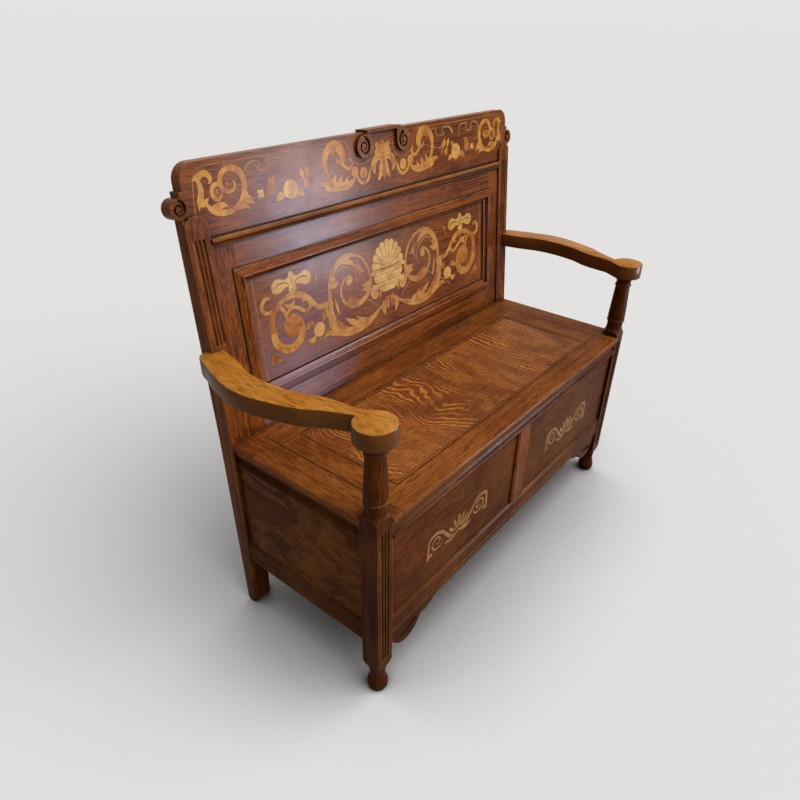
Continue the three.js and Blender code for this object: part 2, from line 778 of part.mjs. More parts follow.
const backBottomRail = () => cut(
  onSeat(block(railSpan, backDepth, [0, backBottomRailWidth])),
  [room(backPanelRanges)],
);
const backTopRail = () => cut(
  block(railSpan, backDepth, [backPanelTop, backFrameTop]),
  [room(backPanelRanges)],
);
const backStile = () => cut(
  onSeat(block([-rearInner + clearance, -stileInner], backDepth, [0, backFrameTop])),
  [room(backPanelRanges)],
);

// Bolection moulding: laps the frame, rises to a ridge and falls to the panel
const bolectionShares = [[0, 0.25], [0.12, 0.45], [0.3, 0.5], [0.45, 0.85], [0.57, 1], [0.68, 0.85]];

function bolection(length, mitreGap) {
  const face = backSetback - clearance;
  const foot = panelFace - clearance;
  const ridge = bolectionShares.map(([across, out]) => [bolectionWidth * across, face - bolectionRise * out]);
  const hollow = new THREE.QuadraticBezierCurve(
    new THREE.Vector2(...ridge.at(-1)),
    new THREE.Vector2(ridge.at(-1)[0], foot - bolectionRise / 2),
    new THREE.Vector2(bolectionWidth, foot - bolectionRise / 2),
  );
  const section = outline([
    [0, face],
    ...ridge,
    ...pairs(hollow.getPoints(arcSteps)).slice(1),
    [bolectionWidth, foot],
    [bolectionLap + clearance, foot],
    [bolectionLap + clearance, face],
  ]);
  const strip = new THREE.ExtrudeGeometry(section, { depth: length, bevelEnabled: false });
  const position = strip.attributes.position;
  for (let index = 0; index < position.count; index += 1) {
    const mitre = position.getX(index) + mitreGap;
    const atEnd = position.getZ(index) > length / 2;
    position.setZ(index, atEnd ? length - mitre : mitre);
  }
  return strip;
}

const mouldingOuter = stileInner + bolectionLap;
const mouldingLow = backBottomRailWidth - bolectionLap;
const mouldingHigh = backPanelTop + bolectionLap;
const mitreGap = clearance * Math.SQRT1_2;

function levelBolection(z, inward) {
  const long = mouldingOuter + mouldingOuter;
  const strip = bolection(long, mitreGap);
  const basis = new THREE.Matrix4().makeBasis(
    new THREE.Vector3(0, 0, inward),
    new THREE.Vector3(0, 1, 0),
    new THREE.Vector3(-inward, 0, 0),
  );
  return strip.applyMatrix4(basis).translate(inward * mouldingOuter, 0, z);
}

function uprightBolection() {
  const strip = bolection(mouldingHigh - mouldingLow, mitreGap);
  return strip.translate(-mouldingOuter, 0, mouldingLow);
}

// Moulded rail under the crest board: two ogees and a square fillet
const crestMouldingShares = [
  [0, 0], [0.35, 0.04], [0.45, 0.2], [0.55, 0.38], [0.85, 0.46], [1, 0.6], [0.95, 0.78], [0.75, 0.84],
  [0.75, 0.96], [0.5, 1],
];

function crestMoulding() {
  const low = backFrameTop + clearance;
  const high = low + crestMouldingHeight;
  const front = crestMouldingShares.map(([out, up]) => [
    backSetback - crestMouldingProjection * out,
    low + crestMouldingHeight * up,
  ]);
  return alongX(outline([...front, [backDepth[1], high], [backDepth[1], low]].reverse()), rearSpan);
}

// Crest board: round shoulders, and an ear at each end rolled into a spiral scroll
const crestLow = backFrameTop + crestMouldingHeight + clearance + clearance;
const earReachShare = 0.68; // of its radius, from the end of the board out to the eye of an ear
const earFilletShare = 0.27; // of its radius, from the eye in to the side of the fillet

function crestBoard() {
  const shoulder = shoulderRise + clearance;
  const side = -halfWidth + crestInset;
  const earX = side - earRadius * earReachShare;
  const turnAt = (share) => Math.acos(share) / (Math.PI * 2);
  const filletTop = earRise + earRadius + earFilletHeight;
  const half = [
    [0, crestLow],
    [-rearInner + clearance, crestLow],
    [-rearInner + clearance, shoulder],
    [side, shoulder],
    ...arc(earX, earRise, earRadius, 1 - turnAt(earReachShare), turnAt(earFilletShare), turningSegments),
    [earX + earRadius * earFilletShare, filletTop],
    [side, filletTop],
    ...arc(side + crestCornerRadius, backRise - crestCornerRadius, crestCornerRadius, 0.5, 0.25),
    [0, backRise],
  ];
  const other = half.slice(1, -1).reverse().map(([x, z]) => [-x, z]);
  const board = alongY(outline([...half, ...other]), [backSetback, backSetback + crestThickness]);
  const groove = spiral(earX, earRise, earRadius, earGroove, backSetback);
  return cut(board, [groove, mirrored(groove)]);
}

// Cresting: a cap over the middle of the board, carried on two volutes
function crestingCap() {
  const low = backRise + clearance;
  const front = backSetback - capOverhang;
  const back = backSetback + crestThickness;
  const section = outline([
    [back, low],
    [back, low + capHeight],
    ...arc(front + capRounding, low + capHeight - capRounding, capRounding, 0.25, 0.5),
    ...arc(front + capRounding, low - capLip + capRounding, capRounding, 0.5, 0.75),
    [backSetback - clearance, low - capLip],
    [backSetback - clearance, low],
  ]);
  return alongX(section, [-capLength / 2, capLength / 2]);
}

// Volute: its strap comes down from the end of the cap and rolls outwards round the eye
const voluteStrapShare = 0.3;

function volute() {
  const top = backRise - capLip;
  const x = -voluteSpacing / 2;
  const face = backSetback - voluteProjection;
  const scroll = outline([
    ...arc(x, voluteRise, voluteRadius, 0.25, 1, turningSegments),
    [x + voluteRadius, top],
    [x + voluteRadius * voluteStrapShare, top],
  ]);
  const plate = alongY(scroll, [face, backSetback - clearance]);
  return cut(plate, [spiral(x, voluteRise, voluteRadius, voluteGroove, face)]);
}

// Assembly
function piece(parent, name, geometry, finish) {
  geometry.computeBoundingBox();
  const centre = geometry.boundingBox.getCenter(new THREE.Vector3());
  geometry.translate(-centre.x, -centre.y, -centre.z);
  geometry.computeVertexNormals();
  const mesh = new THREE.Mesh(geometry, new THREE.MeshStandardMaterial(finish));
  mesh.name = name;
  mesh.position.copy(centre);
  parent.add(mesh);
  return mesh;
}

function pair(parent, name, geometry, finish) {
  piece(parent, `${name}_right`, mirrored(geometry), finish);
  piece(parent, `${name}_left`, geometry, finish);
}

function group(parent, name) {
  const child = new THREE.Group();
  child.name = name;
  parent.add(child);
  return child;
}

function buildBox(parent) {
  pair(parent, 'front_post', frontPost(), finishes.dark);
  pair(parent, 'rear_post', rearPost(), finishes.dark);
  pair(parent, 'arm', arm(), finishes.arm);
  pair(parent, 'seat_end', seatEnd(), finishes.seat);
  piece(parent, 'seat_back_strip', seatStrip(), finishes.seat);
  piece(parent, 'front_top_rail', frontTopRail(), finishes.dark);
  piece(parent, 'front_top_moulding', frontTopMoulding(), finishes.frame);
  piece(parent, 'front_bottom_rail', frontBottomRail(), finishes.dark);
  piece(parent, 'front_muntin', frontMuntin(), finishes.dark);
  pair(parent, 'front_panel', block(...frontPanelRanges), finishes.panel);
  pair(parent, 'bracket', bracket(), finishes.dark);
  pair(parent, 'side_top_rail', sideTopRail(), finishes.dark);
  pair(parent, 'side_bottom_rail', sideBottomRail(), finishes.dark);
  pair(parent, 'side_panel', block(...sidePanelRanges), finishes.dark);
  piece(parent, 'box_back_top_rail', boxBackRail([railTop - boxBackRailWidth, railTop]), finishes.dark);
  piece(parent, 'box_back_bottom_rail', boxBackRail([bottomRailHeight, bottomRailTop]), finishes.dark);
  piece(parent, 'box_back_panel', block(...boxBackPanelRanges), finishes.dark);
  piece(parent, 'floor_bearer_front', bearer(true), finishes.inside);
  piece(parent, 'floor_bearer_back', bearer(false), finishes.inside);
  for (let index = 0; index < boardCount; index += 1) {
    piece(parent, `floor_board_${index + 1}`, floorBoard(index), finishes.inside);
  }
}

function buildBack(parent) {
  const back = group(parent, 'back');
  back.position.set(0, frameDepth, seatHeight);
  back.rotation.x = -rakeAngle;
  piece(back, 'back_bottom_rail', backBottomRail(), finishes.frame);
  piece(back, 'back_top_rail', backTopRail(), finishes.frame);
  pair(back, 'back_stile', backStile(), finishes.frame);
  piece(back, 'back_panel', block(...backPanelRanges), finishes.panel);
  piece(back, 'panel_moulding_top', levelBolection(mouldingHigh, -1), finishes.frame);
  piece(back, 'panel_moulding_bottom', levelBolection(mouldingLow, 1), finishes.frame);
  pair(back, 'panel_moulding', uprightBolection(), finishes.frame);
  piece(back, 'crest_moulding', crestMoulding(), finishes.frame);
  piece(back, 'crest_board', crestBoard(), finishes.panel);
  piece(back, 'cresting_cap', crestingCap(), finishes.frame);
  pair(back, 'cresting_volute', volute(), finishes.frame);
}

function buildLid(parent) {
  const lid = group(parent, 'lid');
  piece(lid, 'lid_front_rail', lidFrontRail(), finishes.seat);
  piece(lid, 'lid_back_rail', lidBackRail(), finishes.seat);
  pair(lid, 'lid_stile', lidStile(), finishes.seat);
  piece(lid, 'lid_panel', lidPanel(), finishes.seat);
  hingeXs.forEach((x, index) => {
    const side = ['left', 'right'][index];
    piece(lid, `hinge_lid_leaf_${side}`, hingeLeaf(x, -1, [1]), finishes.iron);
    piece(parent, `hinge_fixed_leaf_${side}`, hingeLeaf(x, 1, [0, 2]), finishes.iron);
    piece(parent, `hinge_pin_${side}`, hingePin(x), finishes.iron);
  });
}

const bench = new THREE.Group();
bench.name = 'settle_bench';
const frame = group(bench, 'frame');
buildBox(frame);
buildBack(frame);
buildLid(frame);

// Sets the middle of the depth on the origin
bench.updateMatrixWorld(true);
const extent = new THREE.Box3().setFromObject(bench, true);
frame.position.y = -extent.getCenter(new THREE.Vector3()).y;

export default bench;
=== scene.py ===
"""Oak settle bench with marquetry: finishes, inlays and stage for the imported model."""
import math

import bpy
from bpy.props import FloatProperty, PointerProperty, StringProperty
from mathutils import Matrix, Vector


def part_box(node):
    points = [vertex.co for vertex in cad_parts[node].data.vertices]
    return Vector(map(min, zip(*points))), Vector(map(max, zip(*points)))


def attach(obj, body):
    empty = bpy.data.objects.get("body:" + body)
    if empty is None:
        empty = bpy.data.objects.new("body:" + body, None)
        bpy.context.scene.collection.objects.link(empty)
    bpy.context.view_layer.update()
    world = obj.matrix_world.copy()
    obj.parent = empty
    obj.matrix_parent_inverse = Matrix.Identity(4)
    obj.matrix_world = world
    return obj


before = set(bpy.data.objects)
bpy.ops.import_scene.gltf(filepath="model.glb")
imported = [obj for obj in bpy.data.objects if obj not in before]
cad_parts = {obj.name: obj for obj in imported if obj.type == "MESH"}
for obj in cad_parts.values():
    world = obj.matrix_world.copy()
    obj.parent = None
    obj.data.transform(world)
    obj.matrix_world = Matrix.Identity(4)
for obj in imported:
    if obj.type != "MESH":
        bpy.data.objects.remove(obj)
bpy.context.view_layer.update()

bl_info = {
    "name": "Settle bench",
    "version": (1, 0, 0),
    "blender": (4, 5, 0),
    "location": "View3D > Sidebar > Settle bench",
    "description": "Finishes, marquetry and stage for an oak settle bench",
    "category": "Object",
}

MM = 0.001

# The rake of the back, and places taken from the frame
RAKE = math.radians(4.95)
SEAT_TOP = float(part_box("seat_end_left")[1][2])
BACK_Y = float(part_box("rear_post_left")[0][1])
FRONT_PANEL_Y = float(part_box("front_panel_left")[0][1])

# Middle of the right front panel, in metres from the middle of the bench
FRONT_MOTIF_X = 0.259

# Faces of the back's frame and of its panel, in mm behind the faces of the posts
FRAME_DEPTH = 5
PANEL_DEPTH = 12

# Edges of the back's mouldings, in mm up the raked boards from the seat
MOULDING_WIDTH = 30
PANEL_MOULDING = (62, 352)
CREST_MOULDING = (399.4, 421.6)

# Widths of the dark lines in the joints, painted shade with some dirt, in mm
LID_SEAM = 2.6
STILE_SEAM = 2.0
MOULDING_SEAM = 3.2
CREST_SEAM = 3.6

# Where those lines end, in mm: behind the lid's front edge, before its back edge, within its two
# ends, and past the ends of the panel's moulding
LID_FRONT_EDGE = 12
LID_BACK_EDGE = 2
LID_END = 1.2
CREST_SEAM_REACH = 35

# The photograph's camera: 800 pixels square, matched to the bench's edges
PHOTO_SIZE = 800
FOCAL_PIXELS = 634.925
SENSOR_MM = 36.0
CAMERA_AZIMUTH = -52.171
CAMERA_ELEVATION = 32.739
CAMERA_ROLL = 1.393
CAMERA_MM = (-1169.45, -782.01, 1252.63)
CENTRE_PIXEL = (408.697, 418.959)

# From the bench towards the key light, and how wide the light is, in degrees
KEY_DIRECTION = (0.3, -0.7, 0.88)
KEY_SPREAD = 64

# A tall window to the right, which the varnish shows as a cool sheen, in metres
WINDOW_PLACE = (1.12, -1.35, 0.62)
WINDOW_TARGET = (-0.3, 0.18, 0.8)
WINDOW_SIZE = (0.3, 0.64)
WINDOW_COLOUR = "#e2e8ff"

# The floor reaches past every view. The bench gets the light of a duller floor than is seen, and what
# is seen also glows a little, as paper does in a bright room
FLOOR_SIZE = 400.0
FLOOR_BOUNCE = "#8a8886"
FLOOR_GLOW = 0.2


def linear(value):
    """sRGB hex to linear colour."""
    value = value.lstrip("#")
    channels = [int(value[i:i + 2], 16) / 255 for i in (0, 2, 4)]
    return (*(c / 12.92 if c <= 0.04045 else ((c + 0.055) / 1.055) ** 2.4 for c in channels), 1.0)


class FinishSettings(bpy.types.PropertyGroup):
    """Colours and wear of the oak."""

    dark_oak: StringProperty(name="Dark oak", description="Posts, sides and box", default="#66300f")
    frame_oak: StringProperty(name="Frame oak", description="Frame of the back", default="#9a521f")
    seat_oak: StringProperty(name="Seat oak", description="Lid and seat ends", default="#8a4c20")
    arm_oak: StringProperty(name="Arm oak", description="Tops of the arms", default="#c67c28")
    wear: FloatProperty(
        name="Edge wear", description="How far the arrises are rubbed pale", default=0.8, min=0, max=1, subtype="FACTOR"
    )


class StageSettings(bpy.types.PropertyGroup):
    """Floor, light and camera."""

    floor_colour: StringProperty(name="Floor", description="Floor and backdrop", default="#e4e3e1")
    key_strength: FloatProperty(
        name="Key light", description="Strength of the soft light from above", default=3.0, min=0
    )
    fill: FloatProperty(name="Fill", description="Light from all round", default=0.3, min=0, max=1, subtype="FACTOR")
    window_power: FloatProperty(
        name="Window", description="Power of the sheen from the window", default=70.0, min=0, subtype="POWER"
    )


class VeneerSettings(bpy.types.PropertyGroup):
    """Colours of the marquetry."""

    boxwood: StringProperty(name="Boxwood", description="Scrolls and leaves", default="#cd9348")
    honey: StringProperty(name="Honey boxwood", description="Leaves of the crest", default="#d6953f")
    satinwood: StringProperty(name="Satinwood", description="Balls, fruit and shell", default="#dfae60")
    amber: StringProperty(name="Stained box", description="Small leaves and discs", default="#bd7530")
    strap: StringProperty(name="Olive wood", description="Thin straps and strings", default="#b07c44")
    engraving: StringProperty(name="Veins", description="Veins and ribs", default="#8e5e2e")
    line: StringProperty(name="Glue line", description="Thin dark line round each leaf", default="#3a1c0c")


class BenchSettings(bpy.types.PropertyGroup):
    """All settings of the bench."""

    finish: PointerProperty(type=FinishSettings)
    veneer: PointerProperty(type=VeneerSettings)
    stage: PointerProperty(type=StageSettings)


def settings():
    return bpy.context.scene.settle_bench


# Materials

def add_node(tree, kind, attributes=None, inputs=None, stops=None):
    """Adds a node and sets its attributes, its inputs (a value or another node's output) and its stops."""
    node = tree.nodes.new(kind)
    for name, value in (attributes or {}).items():
        setattr(node, name, value)
    for name, value in (inputs or {}).items():
        socket = node.inputs[name]
        if isinstance(value, bpy.types.NodeSocket):
            tree.links.new(value, socket)
        else:
            socket.default_value = value
    if stops:
        elements = node.color_ramp.elements
        while len(elements) < len(stops):
            elements.new(0.5)
        for element, (position, colour) in zip(elements, stops):
            element.position = position
            element.color = linear(colour) if isinstance(colour, str) else (colour, colour, colour, 1.0)
    return node


def new_material(name):
    material = bpy.data.materials.new(name)
    material.use_nodes = True
    tree = material.node_tree
    tree.nodes.clear()
    return material, tree


COLOUR = {"data_type": "RGBA"}
DARKEN = {"data_type": "RGBA", "blend_type": "MULTIPLY"}
PRODUCT = {"operation": "MULTIPLY"}

# Turns that bring the length of a pattern along each axis of the bench
TURNS = {"X": (0, 0, 0), "Y": (0, 0, math.pi / 2), "Z": (0, math.pi / 2, 0)}


def oak_material(name, base, pale, deep, along, figure=0.3, mottle=0.0, rays=0.0, roughness=0.34, wear=0.5,
                 wear_colour="#b07a42", shade_and_dirt=0.75, shaded_side_colour=None, shine=0.05, painted_sheen=0.0):
    """Old varnished oak with its grain along one axis.

    The open pores of oak show as short dark dashes along the grain, over soft streaks of the year's
    growth. figure is the strength of the growth rings, mottle that of the broad pale patches and rays
    that of the thin golden flashes which quarter sawing shows as waves across the grain. wear is how far
    arrises are rubbed pale. The strength after wear's colour is how dark corners and hollows are made:
    painted shade, with some dirt. shine is how much the old finish reflects. The last strength is that
    of a painted sheen: a pale cool patch low on the left of the back, standing for the window's
    reflection. A side colour, where given, darkens the sides: painted shade, and the old dark finish
    left there.
    """
    material, tree = new_material(name)
    place = add_node(tree, "ShaderNodeTexCoord").outputs["Object"]
    grain = add_node(tree, "ShaderNodeMapping", inputs={"Vector": place, "Rotation": TURNS[along]}).outputs[0]

    # Streaks about 4 mm wide and 0.2 m long
    spot = add_node(tree, "ShaderNodeMapping", inputs={"Vector": grain, "Scale": (5, 230, 230)}).outputs[0]
    streaks = add_node(
        tree, "ShaderNodeTexNoise", inputs={"Vector": spot, "Scale": 1.0, "Detail": 6.0, "Roughness": 0.62}
    ).outputs[0]
    amount = add_node(tree, "ShaderNodeValToRGB", inputs={0: streaks}, stops=[(0.37, 0.0), (0.62, 1.0)]).outputs[0]
    tone = add_node(tree, "ShaderNodeMix", COLOUR, {0: amount, 6: linear(deep), 7: linear(base)}).outputs[2]

    # Paler and richer zones a hand or two across
    zone = add_node(
        tree, "ShaderNodeTexNoise", inputs={"Vector": grain, "Scale": 5.5, "Detail": 3.0, "Distortion": 0.6}
    ).outputs[0]
    amount = add_node(tree, "ShaderNodeValToRGB", inputs={0: zone}, stops=[(0.42, 0.0), (0.7, 0.6)]).outputs[0]
    tone = add_node(tree, "ShaderNodeMix", COLOUR, {0: amount, 6: tone, 7: linear(pale)}).outputs[2]

    if figure:
        # Growth rings about 13 mm apart, which a flat cut draws out into arches
        spot = add_node(tree, "ShaderNodeMapping", inputs={"Vector": grain, "Scale": (0.8, 10, 10)}).outputs[0]
        rings = add_node(
            tree,
            "ShaderNodeTexWave",
            {"wave_type": "RINGS", "rings_direction": "X", "wave_profile": "SAW"},
            {"Vector": spot, "Scale": 2.4, "Distortion": 3.0, "Detail": 3.0, "Detail Scale": 0.7,
             "Detail Roughness": 0.6},
        ).outputs[0]
        amount = add_node(
            tree, "ShaderNodeValToRGB", inputs={0: rings}, stops=[(0.0, 1.0), (0.7, 0.92), (0.96, 1 - 0.5 * figure)]
        ).outputs[0]
        tone = add_node(tree, "ShaderNodeMix", DARKEN, {0: 1.0, 6: tone, 7: amount}).outputs[2]

    if mottle:
        # Ray figure cut nearly flat: soft pale patches 30 to 90 mm across
        spot = add_node(tree, "ShaderNodeMapping", inputs={"Vector": grain, "Scale": (8, 17, 17)}).outputs[0]
        patch = add_node(
            tree, "ShaderNodeTexNoise", inputs={"Vector": spot, "Scale": 1.0, "Detail": 3.5, "Distortion": 1.4}
        ).outputs[0]
        amount = add_node(
            tree, "ShaderNodeValToRGB", inputs={0: patch}, stops=[(0.46, 0.0), (0.57, mottle), (0.7, 0.3 * mottle)]
        ).outputs[0]
        tone = add_node(tree, "ShaderNodeMix", COLOUR, {0: amount, 6: tone, 7: linear(pale)}).outputs[2]

    if rays:
        # Ray flashes 3 mm wide, 10 mm apart and 40 to 100 mm long, swept into waves by the slope of the cut
        sweep = add_node(
            tree, "ShaderNodeTexNoise", inputs={"Vector": grain, "Scale": 3.4, "Detail": 1.5}
        ).outputs[1]
        spot = add_node(
            tree, "ShaderNodeVectorMath", {"operation": "MULTIPLY_ADD"}, {0: sweep, 1: (0.32, 0.12, 0.0), 2: grain}
        ).outputs[0]
        waves = add_node(
            tree,
            "ShaderNodeTexWave",
            {"wave_type": "BANDS", "bands_direction": "X", "wave_profile": "SIN"},
            {"Vector": spot, "Scale": 32.0, "Distortion": 12.0, "Detail": 3.5, "Detail Scale": 0.3,
             "Detail Roughness": 0.68},
        ).outputs[0]
        flash = add_node(tree, "ShaderNodeValToRGB", inputs={0: waves}, stops=[(0.6, 0.0), (0.92, 1.0)]).outputs[0]
        gaps = add_node(tree, "ShaderNodeMapping", inputs={"Vector": spot, "Scale": (26, 10, 10)}).outputs[0]
        broken = add_node(tree, "ShaderNodeTexNoise", inputs={"Vector": gaps, "Scale": 1.0, "Detail": 2.0}).outputs[0]
        kept = add_node(
            tree, "ShaderNodeValToRGB", inputs={0: broken}, stops=[(0.4, 0.0), (0.56, rays)]
        ).outputs[0]
        amount = add_node(tree, "ShaderNodeMath", PRODUCT, {0: flash, 1: kept}).outputs[0]
        tone = add_node(tree, "ShaderNodeMix", COLOUR, {0: amount, 6: tone, 7: linear("#cb8238")}).outputs[2]

    # Pores 0.3 mm wide are drawn 1.6 mm wide, so that they show at this distance
    spot = add_node(tree, "ShaderNodeMapping", inputs={"Vector": grain, "Scale": (38, 620, 620)}).outputs[0]
    pores = add_node(
        tree, "ShaderNodeTexNoise", inputs={"Vector": spot, "Scale": 1.0, "Detail": 4.0, "Roughness": 0.65}
    ).outputs[0]
    amount = add_node(tree, "ShaderNodeValToRGB", inputs={0: pores}, stops=[(0.38, 0.2), (0.53, 1.0)]).outputs[0]
    tone = add_node(tree, "ShaderNodeMix", DARKEN, {0: 0.8, 6: tone, 7: amount}).outputs[2]

    # Corners darken within 24 mm: painted shade, with some dirt and old polish. Hands rub the arrises pale for 3 mm
    occlusion = add_node(
        tree, "ShaderNodeAmbientOcclusion", {"samples": 6}, {"Distance": 24 * MM}
    ).outputs["AO"]
    amount = add_node(
        tree, "ShaderNodeValToRGB", inputs={0: occlusion}, stops=[(0.35, 1 - shade_and_dirt), (0.97, 1.0)]
    ).outputs[0]
    tone = add_node(tree, "ShaderNodeMix", DARKEN, {0: 1.0, 6: tone, 7: amount}).outputs[2]
    rounded = add_node(tree, "ShaderNodeBevel", {"samples": 4}, {"Radius": 3.0 * MM}).outputs[0]
    normal = add_node(tree, "ShaderNodeNewGeometry").outputs["Normal"]
    facing = add_node(
        tree, "ShaderNodeVectorMath", {"operation": "DOT_PRODUCT"}, {0: rounded, 1: normal}
    ).outputs["Value"]
    edge = add_node(tree, "ShaderNodeValToRGB", inputs={0: facing}, stops=[(0.82, 1.0), (0.975, 0.0)]).outputs[0]
    rub = add_node(tree, "ShaderNodeTexNoise", inputs={"Vector": place, "Scale": 16.0, "Detail": 4.0}).outputs[0]
    rubbed = add_node(tree, "ShaderNodeValToRGB", inputs={0: rub}, stops=[(0.28, 0.1), (0.6, wear)]).outputs[0]
    amount = add_node(tree, "ShaderNodeMath", PRODUCT, {0: edge, 1: rubbed}).outputs[0]
    amount = add_node(tree, "ShaderNodeMath", PRODUCT, {0: amount, 1: occlusion}).outputs[0]
    tone = add_node(tree, "ShaderNodeMix", COLOUR, {0: amount, 6: tone, 7: linear(wear_colour)}).outputs[2]

    # The wood is darker towards the floor
    height = add_node(tree, "ShaderNodeSeparateXYZ", inputs={"Vector": place}).outputs["Z"]
    amount = add_node(tree, "ShaderNodeValToRGB", inputs={0: height}, stops=[(0.02, 0.6), (0.3, 1.0)]).outputs[0]
    tone = add_node(tree, "ShaderNodeMix", DARKEN, {0: 1.0, 6: tone, 7: amount}).outputs[2]
    if shaded_side_colour:
        # Sides darker than the top: painted shade, and the old dark finish that hands, rubbing only the top, have left
        # on the sides
        up = add_node(tree, "ShaderNodeSeparateXYZ", inputs={"Vector": normal}).outputs["Z"]
        amount = add_node(tree, "ShaderNodeValToRGB", inputs={0: up}, stops=[(0.3, 0.85), (0.9, 0.0)]).outputs[0]
        tone = add_node(tree, "ShaderNodeMix", COLOUR, {0: amount, 6: tone, 7: linear(shaded_side_colour)}).outputs[2]

    if painted_sheen:
        # Painted sheen standing for the window's reflection: a pale cool patch 0.45 m wide and 0.36 m high, on faces
        # that look to the front
        sheen_patch = add_node(
            tree, "ShaderNodeMapping", inputs={"Vector": place, "Location": (1.45, 0, -3.3), "Scale": (4.4, 0, 5.6)}
        ).outputs[0]
        near = add_node(tree, "ShaderNodeTexGradient", {"gradient_type": "SPHERICAL"}, {"Vector": sheen_patch}).outputs[1]
        depth = add_node(tree, "ShaderNodeSeparateXYZ", inputs={"Vector": normal}).outputs["Y"]
        front = add_node(tree, "ShaderNodeValToRGB", inputs={0: depth}, stops=[(0.0, painted_sheen), (0.1, 0.0)]).outputs[0]
        amount = add_node(tree, "ShaderNodeMath", PRODUCT, {0: near, 1: front}).outputs[0]
        tone = add_node(tree, "ShaderNodeMix", COLOUR, {0: amount, 6: tone, 7: linear("#a49bb4")}).outputs[2]

    # Pores sink 0.3 mm into the finish, and hands leave it glossier and duller in patches
    bump = add_node(
        tree, "ShaderNodeBump", inputs={"Strength": 0.22, "Distance": 0.3 * MM, "Height": pores, "Normal": rounded}
    ).outputs[0]
    smear = add_node(tree, "ShaderNodeTexNoise", inputs={"Vector": place, "Scale": 14.0, "Detail": 5.0}).outputs[0]
    rough = add_node(
        tree, "ShaderNodeMapRange", inputs={"Value": smear, "To Min": roughness - 0.08, "To Max": roughness + 0.14}
    ).outputs[0]
    shader = add_node(
        tree,
        "ShaderNodeBsdfPrincipled",
        inputs={"Base Color": tone, "Roughness": rough, "Normal": bump, "Specular IOR Level": shine},
    )
    add_node(tree, "ShaderNodeOutputMaterial", inputs={"Surface": shader.outputs[0]})
    return material


def iron_material():
    """Blackened wrought iron: dull and dark from handling, with a little brown rust in spots of 2 mm."""
    material, tree = new_material("Blackened iron")
    place = add_node(tree, "ShaderNodeTexCoord").outputs["Object"]
    spots = add_node(tree, "ShaderNodeTexNoise", inputs={"Vector": place, "Scale": 420.0, "Detail": 5.0}).outputs[0]
    tone = add_node(
        tree, "ShaderNodeValToRGB", inputs={0: spots}, stops=[(0.4, "#2a1c10"), (0.62, "#46321e")]
    ).outputs[0]
    bump = add_node(tree, "ShaderNodeBump", inputs={"Strength": 0.3, "Distance": 0.1 * MM, "Height": spots}).outputs[0]
    shader = add_node(
        tree,
        "ShaderNodeBsdfPrincipled",
        inputs={"Base Color": tone, "Metallic": 0.85, "Roughness": 0.6, "Normal": bump},
    )
    add_node(tree, "ShaderNodeOutputMaterial", inputs={"Surface": shader.outputs[0]})
    return material


def dress(node_name, material):
    """Gives a CAD node one material."""
    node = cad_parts[node_name]
    node.data.materials.clear()
    node.data.materials.append(material)


def sides(name):
    return [f"{name}_left", f"{name}_right"]


def soften_group():
    """Node group that welds the frame's loose triangles and smooths edges that turn less than 34 degrees."""
    name = "Smooth round surfaces"
    tree = bpy.data.node_groups.get(name)
    if tree:
        return tree
    tree = bpy.data.node_groups.new(name, "GeometryNodeTree")
    tree.interface.new_socket("Geometry", in_out="INPUT", socket_type="NodeSocketGeometry")
    tree.interface.new_socket("Geometry", in_out="OUTPUT", socket_type="NodeSocketGeometry")
    source = add_node(tree, "NodeGroupInput").outputs[0]
    welded = add_node(
        tree, "GeometryNodeMergeByDistance", inputs={"Geometry": source, "Distance": 0.01 * MM}
    ).outputs[0]
    angle = add_node(tree, "GeometryNodeInputMeshEdgeAngle").outputs["Unsigned Angle"]
    soft = add_node(
        tree, "FunctionNodeCompare", {"data_type": "FLOAT", "operation": "LESS_THAN"}, {0: angle, 1: math.radians(34)}
    ).outputs[0]
    faces = add_node(
        tree, "GeometryNodeSetShadeSmooth", {"domain": "FACE"}, {"Geometry": welded, "Shade Smooth": True}
    ).outputs[0]
    edges = add_node(
        tree, "GeometryNodeSetShadeSmooth", {"domain": "EDGE"}, {"Geometry": faces, "Shade Smooth": soft}
    ).outputs[0]
    add_node(tree, "NodeGroupOutput", inputs={"Geometry": edges})
    return tree


